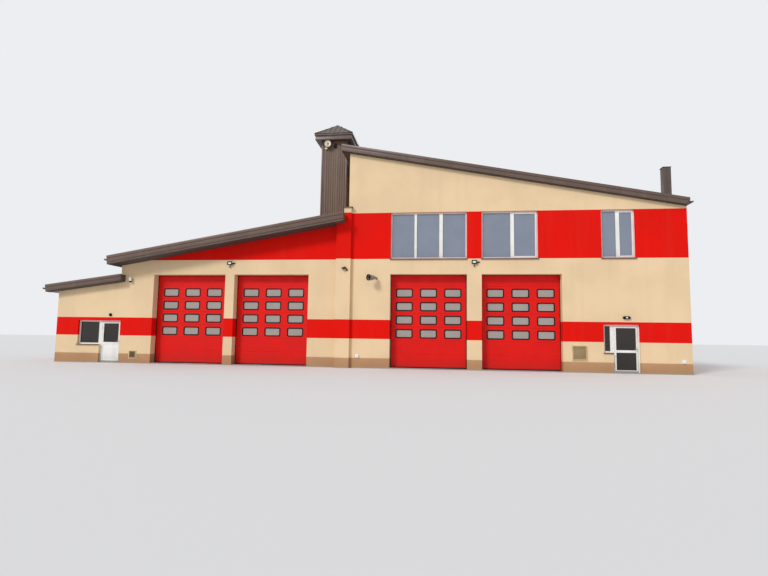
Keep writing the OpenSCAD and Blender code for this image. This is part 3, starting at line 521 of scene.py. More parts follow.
@dataclass(frozen=True)
class RenderFinish:
    """Fine mineral render: warm beige with two red bands and a brown plinth, white inside."""

    look: Look = Look.RENDER
    beige: Colour = linear(232, 205, 166)
    red: Colour = linear(226, 17, 6)
    plinth: Colour = linear(190, 147, 109)
    inner: Colour = linear(226, 224, 218)
    stain: Colour = linear(120, 98, 78)
    lower_band: Span = (1.30, 2.15)
    upper_band: Span = (4.885, 7.0)
    plinth_z: float = 0.45
    room_tops: Point = (9.7, 6.46, 3.84)
    low_wall_in: float = 0.02
    skin: float = 0.004
    grain: float = 0.006
    patch: float = 1.7
    runs: float = 0.045
    splash: float = 0.24
    tones: Span = (0.955, 1.03)
    specks: Span = (0.965, 1.02)
    speck_range: Span = (0.25, 0.75)
    roughness: Span = (0.82, 0.93)
    specular: float = 0.15
    trowel_scale: float = 1.6
    trowel_share: float = 0.65
    strength: float = 0.35

    def _rooms(self, canvas: Canvas, place: Socket) -> Socket:
        """Finds the inner faces of the walls of the three blocks.

        Args:
            canvas: Canvas of the material.
            place: Place on the piece.

        Returns:
            1 on the inner faces, and 0 elsewhere.
        """
        x, y, z = canvas.axes(place)
        rooms = (
            (TALL_X0 + WALL_T, TALL_X1 - WALL_T, FRONT_Y),
            (LOW_X0 + self.low_wall_in, FIRE_WALL_X0, LOW_FRONT_Y),
            (ANNEX_X0 + WALL_T, LOW_X0, LOW_FRONT_Y),
        )
        inside: object = 0.0
        for (x0, x1, wall_y), top in zip(rooms, self.room_tops):
            across = canvas.within(x, x0 - self.skin, x1 + self.skin)
            deep = canvas.within(y, wall_y + WALL_T - self.skin, REAR_Y - WALL_T + self.skin)
            room = canvas.product(across, deep, canvas.math("LESS_THAN", z, top))
            inside = canvas.math("MAXIMUM", inside, room)
        return inside

    def build(self, shop: Workshop) -> Material:
        """Makes the material.

        Args:
            shop: The workshop with the shared effects.

        Returns:
            The material.
        """
        canvas = shop.start(self.look)
        place = canvas.place()
        grain = canvas.grain(self.grain, self.patch)
        edge = canvas.product(canvas.math("SUBTRACT", grain["Height"], 0.5), self.grain)
        level = canvas.math("ADD", canvas.axes(place)["Z"], edge)
        bands = [canvas.within(level, *band) for band in (self.lower_band, self.upper_band)]
        colour = canvas.blend(canvas.math("MAXIMUM", *bands), self.beige, self.red)
        colour = canvas.blend(canvas.math("LESS_THAN", level, self.plinth_z), colour, self.plinth)
        inside = self._rooms(canvas, place)
        stained = canvas.stain(colour, self.stain, self.runs, self.splash)
        tone = canvas.ramp(grain["Tone"], (0.0, 1.0), self.tones)
        speck = canvas.ramp(grain["Height"], self.speck_range, self.specks)
        shade = canvas.add("ShaderNodeVectorMath", operation="SCALE")
        canvas.feed(shade.inputs[0], canvas.blend(inside, stained, self.inner))
        canvas.feed(shade.inputs["Scale"], canvas.product(tone, speck))
        fine = canvas.product(grain["Height"], 1.0 - self.trowel_share)
        trowel = canvas.product(canvas.noise(place, self.trowel_scale, 2.0), self.trowel_share)
        return canvas.finish(
            shade.outputs[0],
            (grain["Tone"], self.roughness),
            (canvas.math("ADD", fine, trowel), self.grain, self.strength),
            {"Specular IOR Level": self.specular},
        )


@dataclass(frozen=True)
class SheetFinish:
    """Painted sheet metal whose panels differ a little in tone, with rain runs and soft waves."""

    look: Look
    colour: Colour
    second: Colour
    roughness: float = 0.42
    spread: Span = (-0.06, 0.1)
    pitch: float = 0.5
    direction: Point = (0.0, 1.0, 0.0)
    runs: float = 0.2
    stain: Colour = linear(140, 128, 116)
    grain: float = 0.02
    patch: float = 0.9
    panel_share: float = 0.55
    wave_scale: float = 1.4
    wave_depth: float = 0.01
    strength: float = 0.25

    def build(self, shop: Workshop) -> Material:
        """Makes the material.

        Args:
            shop: The workshop with the shared effects.

        Returns:
            The material.
        """
        canvas = shop.start(self.look)
        grain = canvas.grain(self.grain, self.patch)
        panels = canvas.place_effect(Effect.PANELS, Direction=self.direction, Pitch=self.pitch)
        patch = canvas.product(grain["Tone"], 1.0 - self.panel_share)
        share = canvas.math("ADD", canvas.product(panels["Field"], self.panel_share), patch)
        colour = canvas.blend(share, self.colour, self.second)
        return canvas.finish(
            canvas.stain(colour, self.stain, self.runs, 0.0),
            (grain["Tone"], (self.roughness + self.spread[0], self.roughness + self.spread[1])),
            (canvas.noise(canvas.place(), self.wave_scale, 1.0), self.wave_depth, self.strength),
            {},
        )


@dataclass(frozen=True)
class SolidFinish:
    """One paint, plastic, rubber or metal with a fine grain and a slight change of tone."""

    look: Look
    colour: Colour
    roughness: float
    spread: float = 0.1
    metallic: float = 0.0
    specular: float = 0.4
    grain: float = 0.002
    patch: float = 0.35
    depth: float = 0.0004
    strength: float = 0.4
    runs: float = 0.12
    splash: float = 0.12
    stain: Colour = linear(96, 86, 76)
    worn: Colour | None = None
    worn_share: float = 0.6
    darker: float = 0.82

    def build(self, shop: Workshop) -> Material:
        """Makes the material.

        Args:
            shop: The workshop with the shared effects.

        Returns:
            The material.
        """
        canvas = shop.start(self.look)
        grain = canvas.grain(self.grain, self.patch)
        worn = self.worn or tuple(channel * self.darker for channel in self.colour)
        colour = canvas.blend(canvas.product(grain["Tone"], self.worn_share), self.colour, worn)
        return canvas.finish(
            canvas.stain(colour, self.stain, self.runs, self.splash),
            (grain["Tone"], (self.roughness, min(self.roughness + self.spread, 1.0))),
            (grain["Height"], self.depth, self.strength),
            {"Metallic": self.metallic, "Specular IOR Level": self.specular},
        )


@dataclass(frozen=True)
class GlassFinish:
    """Glazing with a little dust and a plain transmission, whose colour holds painted light: painted sky reflection
    on pale glass, painted room shade on dark glass.
    """

    look: Look
    painted_light_tint: Colour
    transmission: float
    roughness: float = 0.03
    spread: float = 0.03
    grain: float = 0.05
    patch: float = 0.8
    dust: float = 0.3
    paler: Span = (1.25, 0.02)
    ior: float = 1.5
    wave_scale: float = 0.8
    wave_depth: float = 0.004
    strength: float = 0.12

    def build(self, shop: Workshop) -> Material:
        """Makes the material.

        Args:
            shop: The workshop with the shared effects.

        Returns:
            The material.
        """
        canvas = shop.start(self.look)
        grain = canvas.grain(self.grain, self.patch)
        factor, lift = self.paler
        dusty = tuple(min(channel * factor + lift, 1.0) for channel in self.painted_light_tint)
        return canvas.finish(
            canvas.blend(canvas.product(grain["Tone"], self.dust), self.painted_light_tint, dusty),
            (grain["Tone"], (self.roughness, self.roughness + self.spread)),
            (canvas.noise(canvas.place(), self.wave_scale, 0.0), self.wave_depth, self.strength),
            {"Transmission Weight": self.transmission, "IOR": self.ior},
        )


class Bench:
    """Shapes meshes with Blender's operators, one piece at a time."""

    HARD = math.radians(32)

    @staticmethod
    def only(piece: Piece) -> None:
        """Selects one piece alone and makes it active.

        Args:
            piece: The piece.
        """
        bpy.ops.object.select_all(action="DESELECT")
        piece.select_set(True)
        bpy.context.view_layer.objects.active = piece

    @classmethod
    def _take(cls, edge: Ease) -> Piece:
        """Puts the place of the new primitive into its mesh, and rounds its edges."""
        bpy.ops.object.transform_apply(location=True, rotation=True, scale=True)
        return cls.ease(bpy.context.active_object, edge)

    @classmethod
    def block(cls, low: Point, high: Point, edge: Ease = SHARP, rise: float = 0.0) -> Piece:
        """Makes a block.

        Args:
            low: Its lowest corner.
            high: Its highest corner, before the lift.
            edge: Rounding of its edges.
            rise: How far its end at the high X is lifted.

        Returns:
            The block.
        """
        bpy.ops.object.select_all(action="DESELECT")
        middle = [(a + b) / 2 for a, b in zip(low, high)]
        size = [b - a for a, b in zip(low, high)]
        bpy.ops.mesh.primitive_cube_add(size=1.0, location=middle, scale=size)
        piece = cls._take(SHARP)
        if rise:
            with cls.picked(piece, Pick.FACE, cls.facing(Axis.X, 1)):
                bpy.ops.transform.translate(value=(0.0, 0.0, rise))
        return cls.ease(piece, edge)

    @classmethod
    def bar(cls, start: Point, end: Point, size: Span, edge: Ease, up: Point = UP) -> Piece:
        """Makes a straight bar that stands on the line between two points.

        Args:
            start: First end of the line under the bar's middle.
            end: Second end of that line.
            size: Width of the bar across the line, and its height above it.
            edge: Rounding of its edges.
            up: Rough direction of its height.

        Returns:
            The bar.
        """
        bpy.ops.object.select_all(action="DESELECT")
        bpy.ops.mesh.primitive_cube_add(size=1.0)
        width, height = size
        run = Vector(end) - Vector(start)
        along = run.normalized()
        side = Vector(up).cross(along).normalized()
        top = along.cross(side)
        middle = (Vector(start) + Vector(end)) / 2 + top * (height / 2)
        columns = (along * run.length, side * width, top * height, middle)
        rows = [[column[axis] for column in columns] for axis in Axis]
        bpy.context.active_object.matrix_world = Matrix([*rows, [0.0, 0.0, 0.0, 1.0]])
        return cls._take(edge)

    @classmethod
    def rod(cls, start: Point, end: Point, radii: Span | float, edge: Ease, sides: int = 24) -> Piece:
        """Makes a round rod or cone between two points.

        Args:
            start: Middle of its first end.
            end: Middle of its second end.
            radii: Its radius, or the radius at each end.
            edge: Rounding of its edges.
            sides: Number of faces around it.

        Returns:
            The rod.
        """
        bpy.ops.object.select_all(action="DESELECT")
        first, last = radii if isinstance(radii, tuple) else (radii, radii)
        run = Vector(end) - Vector(start)
        bpy.ops.mesh.primitive_cone_add(
            vertices=sides,
            radius1=first,
            radius2=last,
            depth=run.length,
            location=(Vector(start) + Vector(end)) / 2,
            rotation=run.to_track_quat("Z", "Y").to_euler(),
        )
        return cls._take(edge)

    @staticmethod
    def facing(axis: Axis, sign: int) -> Callable[[bmesh.types.BMFace], bool]:
        """Gives a test for the faces that look along one axis, with the sign of that direction."""
        return lambda face: face.normal[axis] * sign > 0.9

    @staticmethod
    def ending(test: Callable[[Vector], bool]) -> Callable[[bmesh.types.BMEdge], bool]:
        """Gives a test for the edges whose two ends both pass a test."""
        return lambda edge: all(test(vert.co) for vert in edge.verts)

    @classmethod
    @contextmanager
    def picked(cls, piece: Piece, pick: Pick, test: Callable[[object], bool]) -> Iterator[None]:
        """Opens a piece in edit mode with some of it selected, and closes it afterwards.

        Args:
            piece: The piece to open.
            pick: Whether edges or faces are selected.
            test: Says of a bmesh edge or face whether it is taken.

        Yields:
            Nothing, while the piece is open.
        """
        cls.only(piece)
        bpy.ops.object.mode_set(mode="EDIT")
        bpy.ops.mesh.select_mode(type=pick.value)
        bpy.ops.mesh.select_all(action="DESELECT")
        shape = bmesh.from_edit_mesh(piece.data)
        for item in shape.edges if pick is Pick.EDGE else shape.faces:
            if test(item):
                item.select_set(True)
        shape.select_flush_mode()
        bmesh.update_edit_mesh(piece.data)
        yield
        bpy.ops.object.mode_set(mode="OBJECT")

    @classmethod
    def round_corners(cls, piece: Piece, radius: float, steps: int = 5) -> Piece:
        """Rounds the corners that a piece shows from the front.

        Args:
            piece: The piece to round.
            radius: Radius of the corners.
            steps: Number of steps round a corner.

        Returns:
            The same piece.
        """

        def runs_back(edge: bmesh.types.BMEdge) -> bool:
            """Says whether an edge runs from the front to the rear."""
            way = edge.verts[1].co - edge.verts[0].co
            return abs(way.y) > 0.99 * way.length

        with cls.picked(piece, Pick.EDGE, runs_back):
            bpy.ops.mesh.bevel(offset=radius, segments=steps, affect="EDGES")
        return piece

    @classmethod
    def step_face(cls, piece: Piece, axis: Axis, sign: int, *insets: Span) -> Piece:
        """Insets the face that looks along one axis, once or more.

        Args:
            piece: The piece.
            axis: The axis.
            sign: The sign of the direction that the face looks to.
            *insets: Width and height of each step.

        Returns:
            The same piece.
        """
        with cls.picked(piece, Pick.FACE, cls.facing(axis, sign)):
            for width, height in insets:
                bpy.ops.mesh.inset(thickness=width, depth=height)
        return piece

    @classmethod
    def turned(
        cls, root: Point, way: Point, profile: Profile, edge: Ease = SHARP, scale: float = 1.0, sides: int = 48
    ) -> Piece:
        """Makes a round piece by drawing a disc out along its axis, ring by ring.

        Args:
            root: Start of its axis.
            way: Direction of its axis.
            profile: Distance along the axis and radius of each ring. Rings may run back into the piece.
            edge: Rounding of its edges.
            scale: Factor on every radius.
            sides: Number of faces around it.

        Returns:
            The piece.
        """
        bpy.ops.object.select_all(action="DESELECT")
        start, forward = Vector(root), Vector(way).normalized()
        (along, radius), *others = [(distance, share * scale) for distance, share in profile]
        bpy.ops.mesh.primitive_circle_add(
            vertices=sides,
            radius=radius,
            fill_type="NGON",
            location=start + forward * along,
            rotation=forward.to_track_quat("Z", "Y").to_euler(),
        )
        piece = cls._take(SHARP)
        with cls.picked(piece, Pick.FACE, lambda face: True):
            for next_along, next_radius in others:
                move = forward * (next_along - along)
                bpy.ops.mesh.extrude_region_move(TRANSFORM_OT_translate={"value": move})
                centre = start + forward * next_along
                bpy.ops.transform.resize(value=(next_radius / radius,) * 3, center_override=centre)
                along, radius = next_along, next_radius
            bpy.ops.mesh.select_all(action="SELECT")
            bpy.ops.mesh.normals_make_consistent(inside=False)
        return cls.ease(piece, edge)

    @classmethod
    def ring(cls, corners: Box, rim: float, edge: Ease = SHARP, radius: float = 0.0) -> Piece:
        """Makes an upright frame that faces the street.

        Args:
            corners: Lowest and highest corner of its outside.
            rim: Width of the frame.
            edge: Rounding of its edges.
            radius: Radius of its outer corners.

        Returns:
            The frame.
        """
        piece = cls.block(*corners)
        if radius:
            cls.round_corners(piece, radius)
        with cls.picked(piece, Pick.FACE, lambda face: abs(face.normal.y) > 0.9):
            bpy.ops.mesh.inset(thickness=rim, depth=0.0)
            bpy.ops.mesh.bridge_edge_loops()
        return cls.ease(piece, edge)

    @classmethod
    def ease(cls, piece: Piece, edge: Ease) -> Piece:
        """Rounds all hard edges a little and shades the piece smooth between them.

        Args:
            piece: The piece.
            edge: Width of the rounding and its number of steps. Nothing is done where the width is 0.

        Returns:
            The same piece.
        """
        width, steps = edge
        if width:
            cls.only(piece)
            modifier = piece.modifiers.new("ease", "BEVEL")
            modifier.width = width
            modifier.segments = steps
            modifier.limit_method = "ANGLE"
            modifier.angle_limit = cls.HARD
            bpy.ops.object.modifier_apply(modifier=modifier.name)
            bpy.ops.object.shade_smooth_by_angle(angle=cls.HARD)
        return piece

    @classmethod
    def join(cls, parts: Sequence[Piece]) -> Piece:
        """Joins several parts into the first of them.

        Args:
            parts: The parts.

        Returns:
            The first part, with all the others in it.
        """
        cls.only(parts[0])
        for part in parts[1:]:
            part.select_set(True)
        if len(parts) > 1:
            bpy.ops.object.join()
        return parts[0]

    @classmethod
    def repeat(cls, piece: Piece, shifts: Iterable[Sequence[float]]) -> Piece:
        """Copies a piece to several places and joins the copies.

        Args:
            piece: The piece that is copied. It is used up.
            shifts: How far each copy stands from the piece.

        Returns:
            The joined copies.
        """
        twins = []
        for shift in shifts:
            twin = piece.copy()
            twin.data = piece.data.copy()
            twin.data.transform(Matrix.Translation(Vector(shift)))
            bpy.context.scene.collection.objects.link(twin)
            twins.append(twin)
        bpy.data.objects.remove(piece)
        return cls.join(twins)


@dataclass
class Fitter:
    """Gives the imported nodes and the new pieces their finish, and counts the new pieces."""

    finishes: dict[Look, Material]
    fitted: int = 0

    def coat(self, piece: Piece, look: Look) -> None:
        """Gives a piece one finish alone, and reports it.

        Args:
            piece: The piece.
            look: Its finish.
        """
        piece.data.materials.clear()
        piece.data.materials.append(self.finishes[look])
        log.info("%s: %d faces, %s", piece.name, len(piece.data.polygons), look.value)

    def paint(self, look: Look, *nodes: str) -> None:
        """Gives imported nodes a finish."""
        for name in nodes:
            self.coat(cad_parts[name], look)


@dataclass
class Assembly:
    """A sub-assembly of the station, with the fitter that finishes its pieces."""

    fitter: Fitter

    def fit(
        self, name: str, parts: Sequence[Piece], look: Look, slot: Slot, body: str = BUILDING, node: str = ""
    ) -> None:
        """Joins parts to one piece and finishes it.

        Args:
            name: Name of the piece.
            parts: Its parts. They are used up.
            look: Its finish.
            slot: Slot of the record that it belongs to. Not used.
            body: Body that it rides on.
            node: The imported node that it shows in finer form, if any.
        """
        piece = Bench.join(parts)
        piece.name = piece.data.name = name
        self.fitter.coat(piece, look)
        self.fitter.fitted += 1
        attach(piece, body)
        if node:
            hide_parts(node)


@dataclass(frozen=True)
class Opening:
    """A flat opening that looks to the street or to the rear."""

    x: Span
    z: Span
    y: float
    outward: int = -1

    def box(self, grow: float, near: float, far: float) -> Box:
        """Gives a box grown on all sides, from the near to the far depth behind the opening."""
        y0, y1 = sorted((self.y - self.outward * near, self.y - self.outward * far))
        return (self.x[0] - grow, y0, self.z[0] - grow), (self.x[1] + grow, y1, self.z[1] + grow)


@dataclass
class GarageDoor(Assembly):
    """Window frames, panes, seals, ribs and threshold of one sectional garage door."""

    number: int
    x0: float
    width: float
    wall_y: float
    section_h: float = 0.61
    blank_rows: int = 2
    rows: int = 4
    columns: int = 3
    pane_pitch: float = 1.085
    pane_w: float = 0.70
    pane_h: float = 0.345
    pane_r: float = 0.06
    pane_depths: Span = (0.012, 0.034)
    flange: float = 0.034
    proud: float = 0.010
    lining: float = 0.014
    panel_t: float = 0.045
    seal_w: float = 0.03
    lip: float = 0.018
    foot_h: float = 0.05
    rib_w: float = 0.016
    rib_out: float = 0.006
    ribs_a_section: int = 6
    threshold_in: float = 0.02
    threshold_h: float = 0.012
    channel: Span = (0.03, -0.006)

    @property
    def panel_y(self) -> float:
        """Front face of the door."""
        return self.wall_y + WALL_T

    @property
    def window(self) -> Opening:
        """The lowest window on the left."""
        x = self.x0 + self.width / 2 - (self.columns - 1) / 2 * self.pane_pitch
        z = FLOOR_Z + (self.blank_rows + 0.5) * self.section_h
        half_w, half_h = self.pane_w / 2, self.pane_h / 2
        return Opening((x - half_w, x + half_w), (z - half_h, z + half_h), self.panel_y)

    def _at_each_window(self, piece: Piece) -> Piece:
        """Copies a piece of the first window to every window.

        Args:
            piece: The piece. It is used up.

        Returns:
            The joined copies.
        """
        columns = row(Axis.X, self.pane_pitch, self.columns)
        rises = row(Axis.Z, self.section_h, self.rows)
        return Bench.repeat(piece, [rise + along for rise in rises for along in columns])

    def _window_frames(self) -> None:
        """Builds the black frames on both faces and the linings between them."""
        rim, radius = self.flange + self.lining, self.pane_r + self.flange / 2
        parts = []
        for near in (-self.proud, self.panel_t):
            corners = self.window.box(self.flange, near, near + self.proud)
            parts.append(Bench.ring(corners, rim, (self.proud / 4, 2), radius))
        corners = self.window.box(-TOUCH, -self.proud / 2, self.panel_t)
        parts.append(Bench.ring(corners, self.lining, radius=self.pane_r))
        frames = self._at_each_window(Bench.join(parts))
        self.fit(f"garage_door_{self.number}_window_frames", [frames], Look.BLACK, Slot.FITTING)

    def panes(self) -> Piece:
        """Makes all panes of the door.

        Returns:
            The joined panes.
        """
        pane = Bench.block(*self.window.box(-self.lining, *self.pane_depths))
        Bench.round_corners(pane, self.pane_r - self.lining)
        return self._at_each_window(Bench.ease(pane, THIN))

    def _seals(self) -> None:
        """Builds the rubber lips at both jambs, the head and the foot."""
        x0, x1, y = self.x0, self.x0 + self.width, self.panel_y
        lips = (
            (x0, x0 + self.seal_w, FLOOR_Z, GARAGE_H, self.lip),
            (x1 - self.seal_w, x1, FLOOR_Z, GARAGE_H, self.lip),
            (x0, x1, GARAGE_H - self.seal_w, GARAGE_H, self.lip),
            (x0, x1, FLOOR_Z, FLOOR_Z + self.foot_h, self.lip / 2),
        )
        parts = [Bench.block((left, y - out, low), (right, y, high), FULL) for left, right, low, high, out in lips]
        self.fit(f"garage_door_{self.number}_seals", parts, Look.RUBBER, Slot.FITTING)

    def _ribs(self) -> None:
        """Builds the level ribs pressed into the sections without windows."""
        pitch = self.section_h / self.ribs_a_section
        x0, x1 = self.x0 + self.seal_w, self.x0 + self.width - self.seal_w
        low, high = (x0, self.panel_y - self.rib_out, FLOOR_Z), (x1, self.panel_y + TOUCH, FLOOR_Z + self.rib_w)
        rib = Bench.block(low, high, SOFT_FLAT)
        blank = [*range(self.blank_rows), self.blank_rows + self.rows]
        steps = range(1, self.ribs_a_section)
        rises = [section * self.section_h + step * pitch - self.rib_w / 2 for section in blank for step in steps]
        top = GARAGE_H - FLOOR_Z - self.seal_w - pitch / 2
        ribs = Bench.repeat(rib, [(0.0, 0.0, rise) for rise in rises if rise < top])
        self.fit(f"garage_door_{self.number}_ribs", [ribs], Look.ENAMEL, Slot.DOOR)

    def _threshold(self) -> None:
        """Builds the pale channel across the foot of the opening."""
        low = (self.x0 + LAP, self.wall_y + self.threshold_in, FLOOR_Z - LAP)
        high = (self.x0 + self.width - LAP, self.panel_y - self.threshold_in, FLOOR_Z + self.threshold_h)
        channel = Bench.step_face(Bench.block(low, high), Axis.Z, 1, self.channel)
        self.fit(f"garage_threshold_{self.number}", [Bench.ease(channel, CRISP)], Look.STEEL, Slot.CONCRETE)

    def build(self) -> None:
        """Builds everything on the door but its panes."""
        self._window_frames()
        self._seals()
        self._ribs()
        self._threshold()


@dataclass(frozen=True)
class Light:
    """Sash, gasket and pane in one opening of a window frame."""

    opening: Opening
    sash_out: float
    sash_in: float = 0.007
    proud: float = 0.012
    gasket_w: float = 0.006
    gasket_t: float = 0.007
    pane_t: float = 0.024
    frame_t: float = 0.07

    def build(self) -> tuple[Piece, Piece, Piece]:
        """Builds the parts of the light.

        Returns:
            The sash, the gasket and the pane.
        """
        face = self.frame_t / 2 - self.pane_t / 2
        box = self.opening.box
        rim = self.sash_out + self.sash_in
        return (
            Bench.ring(box(self.sash_out, -self.proud, face), rim, SOFT),
            Bench.ring(box(TOUCH - self.sash_in, face - self.gasket_t, face), self.gasket_w, FINE),
            Bench.block(*box(-TOUCH, face, face + self.pane_t), FINE),
        )


@dataclass
class FixedWindows(Assembly):
    """Frames and lights of the upper windows, front and rear, and lights of the two side windows."""

    z0: float = 4.89
    height: float = 2.11
    frame_w: float = 0.06
    recess: float = 0.12
    frame_t: float = 0.07
    windows: tuple[tuple[float, float, tuple[Span, ...]], ...] = (
        (1.79, 3.40, ((2.86, 2.96), (3.97, 4.12))),
        (5.83, 2.43, ((7.09, 7.24),)),
        (10.90, 1.40, ((11.525, 11.675),)),
    )
    sash_out: float = 0.012
    opening_lights: tuple[int, ...] = (4, 6)
    wide_sash: float = 0.06
    wide_sash_y: Span = (-0.014, 0.026)
    wide_sash_in: float = 0.005
    wide_sash_out: float = 0.007
    sides: tuple[tuple[Span, Span, float], ...] = (
        ((10.96, 11.184), (0.92, 1.98), FRONT_Y),
        ((-13.21, -12.246), (0.93, 1.94), LOW_FRONT_Y),
    )

    @property
    def inner_z(self) -> Span:
        """Foot and head of the upper lights."""
        return self.z0 + self.frame_w, self.z0 + self.height - self.frame_w

    @property
    def lights(self) -> list[Span]:
        """Left and right edge of each upper light."""
        edges = []
        for x0, width, mullions in self.windows:
            x = x0 + self.frame_w
            for left, right in mullions:
                edges.append((x, left))
                x = right
            edges.append((x, x0 + width - self.frame_w))
        return edges

    def _both_faces(self, x: Span, z: Span) -> list[Opening]:
        """Gives an opening at the outer face of the front windows, and its twin at the rear."""
        return [Opening(x, z, outward * (REAR_Y - self.recess), outward) for outward in (-1, 1)]

    def _frames(self) -> list[Piece]:
        """Builds the white frames with their mullions, on both faces.

        Returns:
            The frames and mullions.
        """
        parts = []
        low, high = self.inner_z
        for x0, width, mullions in self.windows:
            for hole in self._both_faces((x0, x0 + width), (self.z0, self.z0 + self.height)):
                parts.append(Bench.ring(hole.box(0.0, 0.0, self.frame_t), self.frame_w, SOFT))
                for mullion in mullions:
                    post = replace(hole, x=mullion, z=(low - LAP, high + LAP))
                    parts.append(Bench.block(*post.box(0.0, 0.0, self.frame_t), SOFT))
        return parts

    def _wide_sashes(self) -> list[Piece]:
        """Builds the wider sashes of the right lights that open inwards, on both faces.

        Returns:
            The sashes.
        """
        low, high = self.inner_z
        sashes = []
        for number in self.opening_lights:
            x0, x1 = self.lights[number]
            x = (x0 - self.wide_sash + self.wide_sash_in, x1 + self.wide_sash_out)
            for hole in self._both_faces(x, (low - self.wide_sash_out, high + self.wide_sash_out)):
                sashes.append(Bench.ring(hole.box(0.0, *self.wide_sash_y), self.wide_sash, FULL))
        return sashes

    def build(self) -> None:
        """Builds all frames and lights and joins them by finish."""
        upper = [hole for x in self.lights for hole in self._both_faces(x, self.inner_z)]
        lights = [Light(hole, self.sash_out) for hole in upper]
        lights += [Light(Opening(x, z, wall + self.recess), 0.0) for x, z, wall in self.sides]
        sashes, gaskets, panes = zip(*[light.build() for light in lights])
        self.fit("window_frames", self._frames(), Look.WHITE, Slot.FRAME, node="upper_window_frames")
        self.fit("window_sashes", [*sashes, *self._wide_sashes()], Look.WHITE, Slot.FRAME)
        self.fit("window_gaskets", gaskets, Look.RUBBER, Slot.FITTING)
        self.fit("window_panes", panes[: len(upper)], Look.WINDOW_GLASS, Slot.GLASS, node="window_glass")
        self.fit("side_panes", panes[len(upper) :], Look.DOOR_GLASS, Slot.GLASS, node="window_glass")


